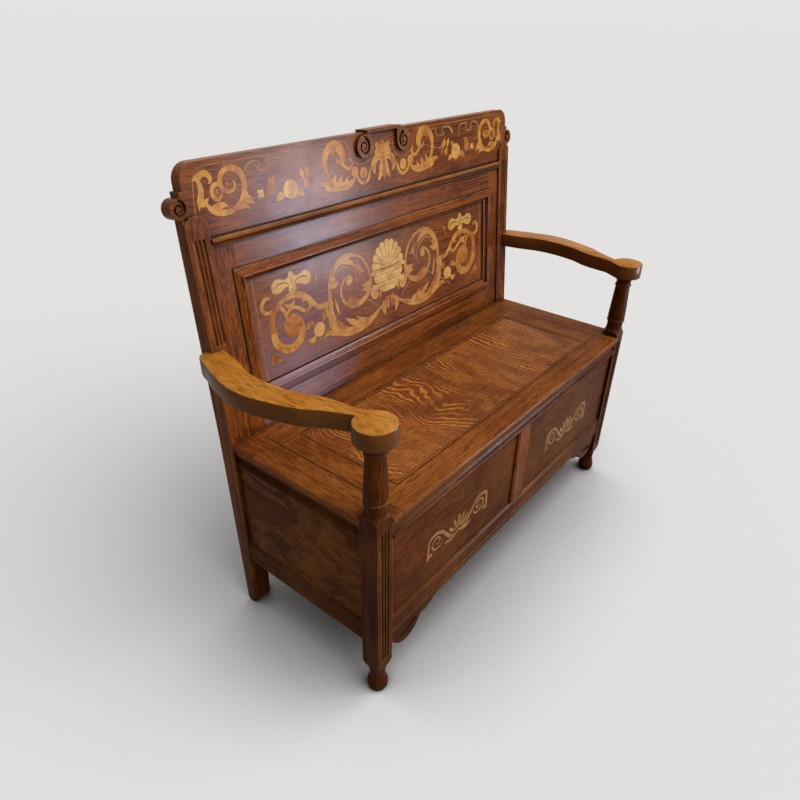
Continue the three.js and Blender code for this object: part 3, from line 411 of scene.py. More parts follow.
class SETTLE_OT_finish_oak(bpy.types.Operator):
    """Gives every board of the bench its oak, with the grain along the board"""

    bl_idname = "settle.finish_oak"
    bl_label = "Finish the oak"

    def execute(self, context):
        finish = settings().finish
        wear = finish.wear

        # Fumed oak: brown nearly to black and dull, with its grain just to be seen
        dark = dict(base=finish.dark_oak, pale="#8c5024", deep="#40200c", wear=wear, shine=0.02)
        posts = oak_material("Fumed oak upright", along="Z", shade_and_dirt=0.6, **dark)
        rails = oak_material("Fumed oak level", along="X", **dark)
        side_rails = oak_material("Fumed oak deep", along="Y", **dark)
        side_panels = oak_material(
            "Fumed oak side panel", along="Y", figure=0.0, mottle=0.55, **{**dark, "base": "#6f3712", "pale": "#9a5c2a"}
        )
        front_panels = oak_material(
            "Fumed oak front panel", base="#6a3512", pale="#82481c", deep="#45200a", along="X", mottle=0.3, wear=wear,
            shine=0.02,
        )

        # Varnished oak: red brown under a smooth film, in which the window shows. Low on the left a painted sheen adds
        # to that reflection
        framing = dict(base=finish.frame_oak, pale="#a85e28", deep="#4e230b", wear=wear)
        level = oak_material("Varnished oak level", along="X", roughness=0.22, painted_sheen=0.6, **framing)
        upright = oak_material("Varnished oak upright", along="Z", roughness=0.3, shade_and_dirt=0.5, shine=0.03, **framing)
        panels = oak_material(
            "Varnished oak panel", base="#90491b", pale="#aa642a", deep="#5a2a10", along="X", mottle=0.1,
            roughness=0.22, wear=wear, shade_and_dirt=0.6, painted_sheen=0.3,
        )

        # Mouldings: the same oak, black in the hollows with painted shade and some dirt, and rubbed pale on every
        # member
        rubbed = {**framing, "wear": min(1.0, 1.25 * wear), "wear_colour": "#c08a4c"}
        mouldings = oak_material("Rubbed oak moulding", along="X", roughness=0.24, shade_and_dirt=1.0, painted_sheen=0.4, **rubbed)
        upright_mouldings = oak_material(
            "Rubbed oak upright moulding", along="Z", roughness=0.3, shade_and_dirt=0.8, **rubbed
        )

        # Waxed oak of the seat: paler, with a soft gloss. Its panel has the rays of quarter sawing
        seat = dict(base=finish.seat_oak, pale="#a8642c", deep="#6b3414", wear=wear, shine=0.03)
        seat_long = oak_material("Waxed oak long", along="X", mottle=0.15, **seat)
        seat_deep = oak_material("Waxed oak deep", along="Y", mottle=0.4, **seat)
        seat_panel = oak_material(
            "Quarter-sawn oak", base="#864a25", pale="#9e5e30", deep="#6e381a", along="X", figure=0.0, rays=0.85,
            wear=wear,
        )

        # Arms: honey-coloured where hands have worn the dark finish off their tops, and darker on the sides, partly by
        # painted shade
        arms = oak_material(
            "Hand-worn oak", base=finish.arm_oak, pale="#dc9a48", deep="#b06c24", along="Y", figure=0.2, roughness=0.3,
            wear=wear, wear_colour="#d09a52", shaded_side_colour="#54301a",
        )

        # Inside of the box: never finished, so pale and matt
        inside = oak_material(
            "Bare oak", base="#9c6e3c", pale="#b88a54", deep="#7a5028", along="Y", figure=0.4, roughness=0.62, wear=0.2
        )

        plan = {
            posts: sides("front_post"),
            rails: ["front_top_moulding", "front_top_rail", "front_bottom_rail", "box_back_top_rail",
                    "box_back_bottom_rail"] + sides("bracket"),
            side_rails: sides("side_top_rail") + sides("side_bottom_rail"),
            side_panels: sides("side_panel"),
            level: ["back_top_rail", "back_bottom_rail"],
            upright: sides("back_stile") + sides("rear_post") + ["front_muntin"],
            mouldings: ["panel_moulding_top", "panel_moulding_bottom", "crest_moulding", "cresting_cap"],
            upright_mouldings: sides("panel_moulding") + sides("cresting_volute"),
            panels: ["crest_board", "back_panel"],
            front_panels: sides("front_panel") + ["box_back_panel"],
            seat_long: ["lid_front_rail", "lid_back_rail", "seat_back_strip"],
            seat_deep: sides("lid_stile") + sides("seat_end"),
            seat_panel: ["lid_panel"],
            arms: sides("arm"),
            inside: ["floor_bearer_front", "floor_bearer_back"] + [f"floor_board_{i}" for i in range(1, 5)],
        }
        for material, names in plan.items():
            for name in names:
                dress(name, material)
        iron = iron_material()
        for name in sides("hinge_fixed_leaf") + sides("hinge_lid_leaf") + sides("hinge_pin"):
            dress(name, iron)
        group = soften_group()
        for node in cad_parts.values():
            modifier = node.modifiers.new("Smooth round surfaces", "NODES")
            modifier.node_group = group
        return {"FINISHED"}


# Marquetry. A strip of veneer is the points down its middle, each (x, up, width) in mm: x from the
# middle of its motif, up from the seat along the raked back, or from the floor on the front panels.
# A disc is (x, up, radius), and an outline is (x, up). What is drawn for one half is mirrored.

# How far each layer stands out of its board, in mm, so that the upper one shows
LAYER = {
    "glue": 0.03, "string": 0.06, "strap": 0.1, "shade_and_dirt": 0.1, "leaf": 0.14, "amber": 0.18, "pale": 0.2,
    "engraving": 0.27,
}
# How far each strip lies over the one before it, and outlined leaves and discs over the strips, in mm
STRIP_RISE = 0.001
OUTLINE_RISE = 0.04
DISC_RISE = 0.08

# Thickness of the veneer, and widths of the glue line round a leaf and of an engraved line, in mm
VENEER_THICKNESS = 0.5
GLUE_LINE = 0.5
ENGRAVED_LINE = 0.7

CREST_LEAVES = [
    [(486, 478, 5), (476, 465, 8), (455, 457, 9), (434, 457, 8), (414, 466, 8), (401, 483, 9), (396, 502, 10),
     (402, 519, 10), (417, 529, 9), (434, 529, 8), (446, 519, 8), (449, 505, 8), (441, 494, 7), (428, 491, 6),
     (418, 499, 5), (421, 509, 3)],
    [(478, 472, 0), (464, 469, 11), (450, 470, 8), (436, 463, 0)],
    [(508, 520, 0), (494, 524, 9), (482, 529, 9), (472, 525, 8), (469, 515, 6), (474, 511, 2)],
    [(496, 524, 6), (492, 508, 8), (493, 495, 10), (499, 482, 9), (503, 468, 0)],
    [(505, 482, 3), (491, 480, 10), (477, 489, 0)],
    [(449, 504, 5), (456, 507, 6), (465, 505, 7), (470, 496, 7), (467, 486, 7), (459, 482, 7), (451, 487, 5),
     (447, 495, 3)],
    [(436, 457, 4), (415, 459, 6), (398, 458, 5), (390, 450, 0)],
    [(418, 462, 4), (402, 470, 12), (390, 469, 12), (379, 457, 0)],
    [(406, 468, 8), (397, 478, 6), (388, 486, 0)],
    [(303, 462, 4), (314, 462, 13), (329, 453, 0)],
    [(271, 462, 4), (262, 460, 11), (249, 452, 0)],
    [(257, 507, 0), (252, 496, 9), (247, 484, 0)],
    [(240, 508, 0), (236, 497, 12), (226, 490, 5), (214, 487, 2)],
    [(247, 486, 3), (243, 474, 12), (238, 465, 0)],
    [(207, 457, 0), (205, 466, 5), (192, 465, 9), (172, 457, 14), (148, 453, 14), (122, 452, 12), (104, 459, 8),
     (95, 470, 3)],
    [(176, 458, 10), (163, 468, 10), (155, 484, 0)],
    [(152, 456, 12), (142, 468, 8), (138, 480, 0)],
    [(130, 455, 8), (124, 464, 6), (121, 471, 0)],
    [(188, 458, 8), (178, 450, 5), (170, 446, 0)],
    [(170, 460, 5), (181, 478, 8), (186, 498, 9), (182, 519, 12), (168, 533, 14), (150, 535, 16), (137, 526, 17),
     (131, 512, 14), (139, 501, 9), (149, 503, 6), (151, 511, 3)],
    [(138, 501, 6), (125, 489, 6), (113, 485, 6), (105, 491, 6), (107, 502, 5), (114, 502, 2)],
    [(93, 470, 4), (85, 456, 6), (70, 449, 7), (56, 455, 6), (49, 469, 5), (44, 481, 0)],
    [(2, 489, 6), (11, 495, 10), (24, 494, 13), (34, 484, 13), (35, 471, 10), (27, 461, 0)],
    [(6, 492, 6), (10, 475, 9), (13, 459, 10), (21, 447, 5)],
]
CREST_AMBER = [
    [(322, 502, 0), (330, 494, 12), (340, 480, 13), (351, 465, 0)],
    [(262, 498, 0), (268, 493, 8), (277, 487, 7)],
    [(232, 489, 3), (226, 477, 10), (221, 469, 0)],
    [(430, 505, 12), (433, 499, 12)],
    [(459, 500, 6), (460, 489, 6)],
    [(148, 528, 5), (158, 526, 9), (168, 515, 0)],
]
CREST_STRAPS = [
    [(386, 512, 3), (388, 526, 4), (378, 532, 4), (362, 533, 4), (354, 527, 4), (360, 519, 4), (350, 516, 4),
     (336, 516, 4), (331, 523, 4), (338, 531, 4), (325, 533, 4), (308, 532, 4), (301, 524, 4), (303, 503, 3)],
    [(274, 517, 9), (262, 529, 7), (245, 533, 4), (232, 531, 4), (228, 524, 4), (236, 518, 4), (225, 516, 4),
     (208, 517, 4), (200, 524, 4), (204, 531, 4), (190, 533, 4), (176, 527, 3)],
    [(414, 500, 2), (390, 494, 2), (364, 491, 2)],
    [(213, 488, 2), (190, 492, 2), (150, 504, 2)],
    [(326, 485, 0), (331, 474, 9), (344, 465, 0)],
]
CREST_MIDDLE = [[(0, 497, 7), (0, 478, 9), (0, 458, 11), (0, 440, 0)]]
VINE_LEAF = [
    (0, 531), (5, 528), (8, 522), (13, 525), (21, 527), (26, 521), (23, 514), (28, 509), (26, 502), (18, 500),
    (10, 497), (4, 499), (0, 496),
]
VINE_VEINS = [[(0, 498, 1.4), (0, 526, 0)], [(0, 501, 1.2), (20, 522, 0)], [(1, 501, 1.2), (23, 507, 0)]]
CREST_BALLS = [(286.5, 471, 19)]
CREST_SMALL_BALLS = [(97.5, 476, 11), (69.5, 470, 12.5)]
CREST_SQUARES = [[(362, 468, 14), (362, 482, 14)]]
CREST_STRING = [
    [(512, 462, 1.8), (510, 486, 1.8), (506, 510, 1.8), (499, 530, 1.8), (484, 540, 1.8), (460, 541, 1.8),
     (300, 541, 1.8), (150, 541, 1.8), (122, 539, 1.8), (112, 522, 1.8), (104, 503, 1.8), (90, 492, 1.8),
     (70, 488, 1.8), (50, 493, 1.8), (38, 505, 1.8), (34, 522, 1.8)],
]

PANEL_LEAVES = [
    [(28, 152, 3), (52, 137, 8), (85, 124, 14), (120, 119, 18), (155, 121, 18), (185, 135, 20),
     (203, 157, 22), (208, 182, 14), (206, 202, 9), (206, 230, 9), (198, 259, 12), (180, 284, 12),
     (155, 298, 11), (125, 299, 7), (98, 288, 5), (79, 267, 6), (69, 241, 6), (69, 216, 9), (80, 195, 10),
     (100, 183, 11), (122, 179, 12), (146, 185, 10), (163, 200, 7), (170, 219, 6), (165, 238, 5),
     (153, 250, 5), (140, 253, 6), (131, 245, 5), (134, 237, 3)],
    [(108, 125, 12), (136, 138, 14), (170, 162, 0)],
    [(84, 127, 10), (108, 137, 10), (130, 154, 0)],
    [(165, 126, 16), (200, 134, 14), (226, 139, 8), (243, 131, 0)],
    [(180, 140, 18), (203, 158, 13), (222, 168, 0)],
    [(176, 291, 8), (150, 291, 12), (128, 281, 9), (114, 268, 0)],
    [(205, 240, 3), (189, 245, 12), (172, 250, 0)],
    [(203, 250, 3), (188, 258, 6), (176, 266, 0)],
    [(68, 224, 5), (84, 217, 12), (101, 224, 0)],
    [(73, 209, 8), (88, 206, 7), (103, 212, 0)],
    [(193, 222, 0), (189, 202, 5), (184, 182, 6), (178, 168, 0)],
    [(200, 206, 8), (222, 209, 11), (241, 210, 10), (256, 221, 10), (275, 242, 12), (300, 256, 13), (325, 259, 12),
     (350, 251, 9), (372, 242, 7), (390, 241, 7), (399, 251, 8), (395, 265, 8), (384, 271, 7), (375, 266, 3)],
    [(205, 212, 16), (216, 197, 16), (208, 172, 16)],
    [(378, 196, 14), (378, 176, 15), (368, 159, 16), (350, 147, 17), (330, 145, 17), (312, 153, 17), (301, 169, 15),
     (298, 188, 10), (304, 205, 5)],
    [(342, 219, 5), (321, 232, 6), (305, 228, 7), (290, 218, 8), (276, 214, 8), (267, 224, 8), (272, 237, 7),
     (285, 240, 6), (291, 233, 2)],
    [(312, 246, 2), (318, 238, 8), (330, 238, 7), (338, 246, 2)],
    [(362, 245, 3), (348, 239, 8), (341, 225, 6), (338, 208, 4)],
    [(262, 174, 0), (272, 180, 12), (285, 174, 8), (301, 168, 0)],
    [(262, 148, 4), (275, 140, 12), (291, 145, 0)],
    [(53, 206, 10), (64, 196, 9), (62, 183, 9), (51, 178, 9), (43, 186, 6), (48, 193, 4)],
    [(30, 200, 8), (33, 184, 6), (37, 166, 0)],
    [(26, 160, 2), (26, 140, 14), (17, 118, 0)],
]
PANEL_AMBER = [
    [(120, 276, 0), (108, 266, 12), (97, 255, 9), (83, 250, 0)],
    [(107, 264, 8), (103, 249, 5), (105, 233, 0)],
    [(112, 185, 8), (129, 192, 10), (143, 206, 0)],
    [(128, 183, 8), (144, 194, 8), (151, 210, 0)],
    [(352, 250, 8), (372, 236, 12), (380, 216, 13), (379, 192, 14)],
    [(396, 152, 0), (388, 140, 7), (376, 131, 8), (365, 121, 0)],
    [(388, 141, 5), (395, 131, 6), (392, 119, 0)],
    [(238, 173, 3), (231, 183, 10), (239, 197, 0)],
    [(6, 168, 6), (12, 152, 18), (4, 132, 0)],
    [(160, 131, 7), (185, 145, 9), (196, 168, 0)],
]
PANEL_STRAPS = [
    [(186, 266, 0), (165, 277, 6), (141, 275, 5), (123, 262, 5), (114, 244, 4), (112, 228, 2)],
    [(86, 184, 3), (67, 169, 3), (46, 154, 3)],
    [(156, 191, 3), (181, 175, 3), (216, 155, 3), (240, 141, 3), (262, 125, 3), (272, 117, 0)],
    [(243, 259, 0), (243, 273, 6), (236, 287, 5), (221, 294, 0)],
]
CARTOUCHE = [
    (0, 24), (5, 22), (8, 15), (14, 11), (24, 12), (34, 16), (46, 15), (54, 8), (56, 0), (53, -9), (44, -14),
    (33, -13), (22, -8), (14, -6), (9, -9), (12, -16), (7, -19), (3, -22), (0, -24),
]
CARTOUCHE_PLACE = (312, 286)
CARTOUCHE_SLITS = [
    [(6, -12, 0), (12, 1, 2.2), (26, 5, 3), (40, 3, 3), (49, -6, 0)],
    [(0, 19, 0), (0, 0, 1.6), (0, -20, 0)],
]
PANEL_FOOT = [
    (0, 241), (60, 241), (66, 237), (60, 232), (50, 231), (54, 225), (52, 216), (46, 209), (56, 206),
    (60, 200), (50, 194), (36, 192), (30, 186), (22, 182), (0, 181),
]
FOOT_LINES = [[(-x, up, 1.1), (x, up, 1.1)] for x, up in ((55, 235), (50, 226), (47, 216), (44, 208), (48, 197))]
PANEL_DISCS = [(324, 194, 26)]
PANEL_FRUIT = [(250, 159, 17)]
PANEL_EYES = [(141, 241, 9), (53, 190, 9)]
PANEL_STRING = [[(0, 92, 2.2), (413, 92, 2.2)], [(0, 325, 2.2), (413, 325, 2.2)], [(413, 92, 2.2), (413, 325, 2.2)]]

FRONT_SCROLLS = [
    [(113, 270, 8), (112, 298, 7), (108, 320, 9), (88, 327, 8), (66, 319, 8), (48, 301, 8), (34, 285, 8),
     (10, 275, 6)],
    [(114, 270, 4), (105, 278, 8), (96, 271, 0)],
    [(57, 297, 2), (64, 286, 5), (80, 282, 5), (95, 290, 5), (98, 304, 5), (87, 314, 5), (74, 310, 5), (71, 300, 5),
     (79, 294, 4), (85, 300, 2)],
    [(5, 289, 4), (14, 305, 9), (19, 320, 7)],
    [(10, 287, 4), (26, 296, 9), (36, 308, 6)],
    [(0, 282, 5), (16, 273, 7), (38, 272, 8), (56, 279, 0)],
]
FRONT_MIDDLE = [[(0, 290, 4), (0, 309, 11), (0, 325, 8)]]

# The scallop shell: half its width, its height, and its hinge above the seat
SHELL_REACH = 60
SHELL_HEIGHT = 66
SHELL_HINGE = 242
SHELL_LOBES = 9


def mirrored(strips):
    return strips + [[(-x, up, width) for x, up, width in strip] for strip in strips]


def mirrored_discs(discs):
    return discs + [(-x, up, radius) for x, up, radius in discs]


def symmetrical(half, place=(0, 0)):
    """Closed outline from its right half, drawn from the top down to the foot."""
    x, up = place
    return [(x + a, up + b) for a, b in half + [(-a, b) for a, b in half[-2:0:-1]]]


def scallop():
    """Outline of the shell, lobes round its hinge, and the lines between the lobes."""
    outline, ribs = [], []
    last = 4 * SHELL_LOBES
    for step in range(last + 1):
        angle = math.radians(-90 + 5 * step)
        reach = 0.92 + 0.08 * math.sin(math.pi * (step % 4) / 4) ** 0.6
        x, up = SHELL_REACH * math.sin(angle), SHELL_HEIGHT * math.cos(angle)
        outline.append((x * reach, SHELL_HINGE + up * reach))
        if step % 4 == 0 and 0 < step < last:
            line = (0.1, 0.8), (0.5, 1.4), (0.92, 1.8)
            ribs.append([(share * x, SHELL_HINGE + share * up, width) for share, width in line])
    return outline, ribs


def fuller(strips, share):
    """The same strips, that many times as wide."""
    return [[(x, up, width * share) for x, up, width in strip] for strip in strips]


def grown(outlines, extra):
    """Each outline spread from its middle by the same amount on every side."""
    spread = []
    for outline in outlines:
        xs, ups = [point[0] for point in outline], [point[1] for point in outline]
        middle = (min(xs) + max(xs)) / 2, (min(ups) + max(ups)) / 2
        grow = 1 + 2 * extra / (max(xs) - min(xs)), 1 + 2 * extra / (max(ups) - min(ups))
        spread.append([tuple(m + (value - m) * g for value, m, g in zip(point, middle, grow)) for point in outline])
    return spread


def middle_lines(strips, width, least):
    """A fine line down the middle of each strip that is wide enough to have been engraved."""
    wide = [strip for strip in strips if max(point[2] for point in strip) >= least]
    return [[(x, up, width if 0 < i < len(strip) - 1 else 0) for i, (x, up, _) in enumerate(strip)] for strip in wide]


def widened(strips, extra):
    """The same strips, that many mm wider."""
    return [[(x, up, width + extra) for x, up, width in strip] for strip in strips]


def select_only(piece):
    bpy.ops.object.select_all(action="DESELECT")
    piece.select_set(True)
    bpy.context.view_layer.objects.active = piece


def join_to(piece, other):
    select_only(piece)
    other.select_set(True)
    bpy.ops.object.join()


def settle_on_body(piece, material, body):
    """Gives a piece its finish and lets it move with its body."""
    piece.data.materials.clear()
    piece.data.materials.append(material)
    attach(piece, body)


def lay_veneer(name, strips, board, layer, material, discs=(), outlines=(), body="carcass"):
    """Cuts strips, discs and outlined leaves of veneer, lays them flat and sets them on a board."""
    proud = LAYER[layer]
    curve = bpy.data.curves.new(name, "CURVE")
    curve.dimensions = "3D"
    curve.twist_mode = "Z_UP"
    curve.resolution_u = 7
    # Half a millimetre each way, times a point's radius, is the width of the strip there
    curve.extrude = MM / 2
    for number, strip in enumerate(strips):
        spline = curve.splines.new("BEZIER")
        spline.radius_interpolation = "CARDINAL"
        spline.bezier_points.add(len(strip) - 1)
        for point, (x, up, width) in zip(spline.bezier_points, strip):
            point.co = (x * MM, up * MM, (proud + STRIP_RISE * number) * MM)
            point.handle_left_type = point.handle_right_type = "AUTO"
            point.radius = width
            point.tilt = math.pi / 2
    piece = bpy.data.objects.new(name, curve)
    bpy.context.collection.objects.link(piece)
    select_only(piece)
    bpy.ops.object.convert(target="MESH")
    for x, up, radius in discs:
        bpy.ops.mesh.primitive_circle_add(
            vertices=40, radius=radius * MM, fill_type="TRIFAN", location=(x * MM, up * MM, (proud + DISC_RISE) * MM)
        )
        join_to(piece, bpy.context.object)
    for outline in outlines:
        curve = bpy.data.curves.new(name, "CURVE")
        curve.dimensions = "2D"
        curve.fill_mode = "BOTH"
        curve.resolution_u = 5
        spline = curve.splines.new("BEZIER")
        spline.use_cyclic_u = True
        spline.bezier_points.add(len(outline) - 1)
        for point, (x, up) in zip(spline.bezier_points, outline):
            point.co = (x * MM, up * MM, 0)
            point.handle_left_type = point.handle_right_type = "AUTO"
        leaf = bpy.data.objects.new(name, curve)
        leaf.location.z = (proud + OUTLINE_RISE) * MM
        bpy.context.collection.objects.link(leaf)
        select_only(leaf)
        bpy.ops.object.convert(target="MESH")
        if leaf.data.polygons[0].normal.z < 0:
            leaf.data.flip_normals()
        join_to(piece, leaf)
    select_only(piece)
    thick = piece.modifiers.new("Thickness", "SOLIDIFY")
    thick.thickness = VENEER_THICKNESS * MM
    thick.offset = -1
    bpy.ops.object.modifier_apply(modifier=thick.name)
    bpy.ops.object.shade_flat()
    piece.location, piece.rotation_euler = board
    bpy.ops.object.transform_apply(location=True, rotation=True, scale=True)
    settle_on_body(piece, material, body)


def raked_board(depth):
    """Place of a board's face in the raked back, that far behind the posts' faces, in mm."""
    place = Vector((0, BACK_Y, SEAT_TOP)) + Vector((0, math.cos(RAKE), -math.sin(RAKE))) * depth * MM
    return place, (math.pi / 2 - RAKE, 0, 0)


def veneer_material(name, pale, deep):
    """Thin veneer under old varnish: warm and smooth, fine straight grain, toned unevenly from leaf to leaf."""
    material, tree = new_material(name)
    place = add_node(tree, "ShaderNodeTexCoord").outputs["Object"]
    patch = add_node(
        tree, "ShaderNodeTexNoise", inputs={"Vector": place, "Scale": 26.0, "Detail": 4.0, "Distortion": 1.2}
    ).outputs[0]
    amount = add_node(tree, "ShaderNodeValToRGB", inputs={0: patch}, stops=[(0.4, 0.0), (0.66, 1.0)]).outputs[0]
    tone = add_node(tree, "ShaderNodeMix", COLOUR, {0: amount, 6: linear(pale), 7: linear(deep)}).outputs[2]
    # Grain lines 0.5 mm apart are drawn 1.5 mm apart, so that they show at this distance
    spot = add_node(tree, "ShaderNodeMapping", inputs={"Vector": place, "Scale": (60, 650, 650)}).outputs[0]
    grain = add_node(tree, "ShaderNodeTexNoise", inputs={"Vector": spot, "Scale": 1.0, "Detail": 3.0}).outputs[0]
    amount = add_node(tree, "ShaderNodeValToRGB", inputs={0: grain}, stops=[(0.34, 0.7), (0.55, 1.0)]).outputs[0]
    tone = add_node(tree, "ShaderNodeMix", DARKEN, {0: 0.8, 6: tone, 7: amount}).outputs[2]
    shader = add_node(
        tree, "ShaderNodeBsdfPrincipled", inputs={"Base Color": tone, "Roughness": 0.3, "Specular IOR Level": 0.05}
    )
    add_node(tree, "ShaderNodeOutputMaterial", inputs={"Surface": shader.outputs[0]})
    return material


def veneers():
    colours = settings().veneer
    return {
        "box": veneer_material("Boxwood veneer", colours.boxwood, "#a8692f"),
        "honey": veneer_material("Honey boxwood veneer", colours.honey, "#b06a2a"),
        "satin": veneer_material("Satinwood veneer", colours.satinwood, "#c08a42"),
        "amber": veneer_material("Stained boxwood veneer", colours.amber, "#94521e"),
        "strap": veneer_material("Olive wood veneer", colours.strap, "#8a5a35"),
        "engraving": veneer_material("Sand-darkened veins", colours.engraving, "#6a3f1c"),
        "line": veneer_material("Dark glue line", colours.line, colours.line),
    }


class SETTLE_OT_crest_marquetry(bpy.types.Operator):
    """Inlays the crest board: scrolled leaves, pomegranates, straps and a string round the edge"""

    bl_idname = "settle.crest_marquetry"
    bl_label = "Crest marquetry"

    def execute(self, context):
        woods = veneers()
        board = raked_board(FRAME_DEPTH)
        leaves, amber = fuller(mirrored(CREST_LEAVES), 1.25), fuller(mirrored(CREST_AMBER) + CREST_MIDDLE, 1.2)
        straps, squares, string = mirrored(CREST_STRAPS), mirrored(CREST_SQUARES), mirrored(CREST_STRING)
        balls, small = mirrored_discs(CREST_BALLS), mirrored_discs(CREST_SMALL_BALLS)
        vine = [symmetrical(VINE_LEAF)]
        under = widened(leaves + amber + straps + squares, 2 * GLUE_LINE)
        rims = [(x, up, radius + GLUE_LINE) for x, up, radius in balls + small]
        lay_veneer("crest_glue_lines", under, board, "glue", woods["line"], rims, grown(vine, GLUE_LINE))
        lay_veneer("crest_straps", straps, board, "strap", woods["strap"])
        lay_veneer("crest_leaves", leaves, board, "leaf", woods["honey"], small, vine)
        lay_veneer("crest_amber_leaves", amber, board, "amber", woods["amber"])
        lay_veneer("crest_pomegranates", squares, board, "pale", woods["satin"], balls)
        lay_veneer("crest_string", string, board, "string", woods["strap"])
        lines = middle_lines(leaves + amber, ENGRAVED_LINE, least=15) + mirrored(VINE_VEINS)
        lay_veneer("crest_engraving", lines, board, "engraving", woods["engraving"])
        return {"FINISHED"}


class SETTLE_OT_panel_marquetry(bpy.types.Operator):
    """Inlays the back panel: acanthus scrolls each side of a scallop shell, with a strapwork cartouche"""

    bl_idname = "settle.panel_marquetry"
    bl_label = "Back panel marquetry"

    def execute(self, context):
        woods = veneers()
        board = raked_board(PANEL_DEPTH)
        leaves, amber = fuller(mirrored(PANEL_LEAVES), 1.2), fuller(mirrored(PANEL_AMBER), 1.25)
        straps = mirrored(PANEL_STRAPS)
        discs, fruit, eyes = mirrored_discs(PANEL_DISCS), mirrored_discs(PANEL_FRUIT), mirrored_discs(PANEL_EYES)
        shell, ribs = scallop()
        x, up = CARTOUCHE_PLACE
        pale = [shell, symmetrical(PANEL_FOOT), symmetrical(CARTOUCHE, (x, up)), symmetrical(CARTOUCHE, (-x, up))]
        slits = [
            [(place + a, up + b, width) for a, b, width in strip]
            for strip in mirrored(CARTOUCHE_SLITS)
            for place in (x, -x)
        ]
        under = widened(leaves + amber + straps, 2 * GLUE_LINE)
        rims = [(x, up, radius + GLUE_LINE) for x, up, radius in discs + fruit + eyes]
        lay_veneer("panel_glue_lines", under, board, "glue", woods["line"], rims, grown(pale, GLUE_LINE))
        lay_veneer("panel_straps", straps, board, "strap", woods["strap"])
        lay_veneer("panel_leaves", leaves, board, "leaf", woods["box"], eyes)
        lay_veneer("panel_amber_leaves", amber, board, "amber", woods["amber"], discs)
        lay_veneer("panel_shell_and_cartouches", [], board, "pale", woods["satin"], fruit, pale)
        lay_veneer("panel_string", mirrored(PANEL_STRING), board, "string", woods["strap"])
        lines = middle_lines(leaves + amber, ENGRAVED_LINE, least=19) + ribs + FOOT_LINES + slits
        lay_veneer("panel_engraving", lines, board, "engraving", woods["engraving"])
        return {"FINISHED"}


class SETTLE_OT_front_marquetry(bpy.types.Operator):
    """Inlays the two front panels with a pair of scrolls and a palmette"""

    bl_idname = "settle.front_marquetry"
    bl_label = "Front panel marquetry"

    def execute(self, context):
        woods = veneers()
        strips = fuller(mirrored(FRONT_SCROLLS) + FRONT_MIDDLE, 1.05)
        lines = middle_lines(strips, ENGRAVED_LINE, least=9)
        for side, x in (("left", -FRONT_MOTIF_X), ("right", FRONT_MOTIF_X)):
            board = Vector((x, FRONT_PANEL_Y, 0)), (math.pi / 2, 0, 0)
            lay_veneer(f"front_{side}_glue_lines", widened(strips, 2 * GLUE_LINE), board, "glue", woods["line"])
            lay_veneer(f"front_{side}_scrolls", strips, board, "leaf", woods["strap"])
            lay_veneer(f"front_{side}_engraving", lines, board, "engraving", woods["engraving"])
        return {"FINISHED"}


class SETTLE_OT_seam_shade_and_dirt(bpy.types.Operator):
    """Darkens the joints of the lid and of the back's mouldings with painted shade, and with old wax and dirt"""

    bl_idname = "settle.seam_dirt"
    bl_label = "Dirt in the seams"

    def execute(self, context):
        # A near-black veneer: painted shade in the joints, with old wax and dirt
        shade_and_dirt = veneer_material("Wax and dirt", "#2e170b", "#3c200f")
        low, high = ([float(value) / MM for value in corner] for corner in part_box("lid_panel"))
        seams = self.rectangle(high[0], low[1], high[1], LID_SEAM)
        front = float(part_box("lid_front_rail")[0][1]) / MM + LID_FRONT_EDGE
        back = float(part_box("lid_back_rail")[1][1]) / MM - LID_BACK_EDGE
        side = float(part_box("lid_stile_right")[1][0]) / MM - LID_END
        seams += [[(x, front, STILE_SEAM), (x, back, STILE_SEAM)] for x in (-side, side)]
        lay_veneer("lid_seam_shade_and_dirt", seams, (Vector((0, 0, SEAT_TOP)), (0, 0, 0)), "shade_and_dirt", shade_and_dirt, body="lid")

        # Painted shade and dirt inside and outside the panel's moulding, and along both edges of the moulding under the
        # crest
        outer = -float(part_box("panel_moulding_left")[0][0]) / MM
        inner = outer - MOULDING_WIDTH
        low, high = PANEL_MOULDING
        half = MOULDING_SEAM / 2
        seams = self.rectangle(
            inner - half, low + MOULDING_WIDTH + half, high - MOULDING_WIDTH - half, MOULDING_SEAM
        )
        lay_veneer("panel_seam_shade_and_dirt", seams, raked_board(PANEL_DEPTH), "shade_and_dirt", shade_and_dirt)
        seams = self.rectangle(outer + half, low - half, high + half, MOULDING_SEAM)
        end = outer + CREST_SEAM_REACH
        seams += [[(-end, up, CREST_SEAM), (end, up, CREST_SEAM)] for up in CREST_MOULDING]
        lay_veneer("frame_seam_shade_and_dirt", seams, raked_board(FRAME_DEPTH), "shade_and_dirt", shade_and_dirt)
        return {"FINISHED"}

    def rectangle(self, side, low, high, width):
        """Four strips round a rectangle that has the middle of the bench in its middle."""
        corners = [(-side, low), (side, low), (side, high), (-side, high)]
        return [[(*a, width), (*b, width)] for a, b in zip(corners, corners[1:] + corners[:1])]


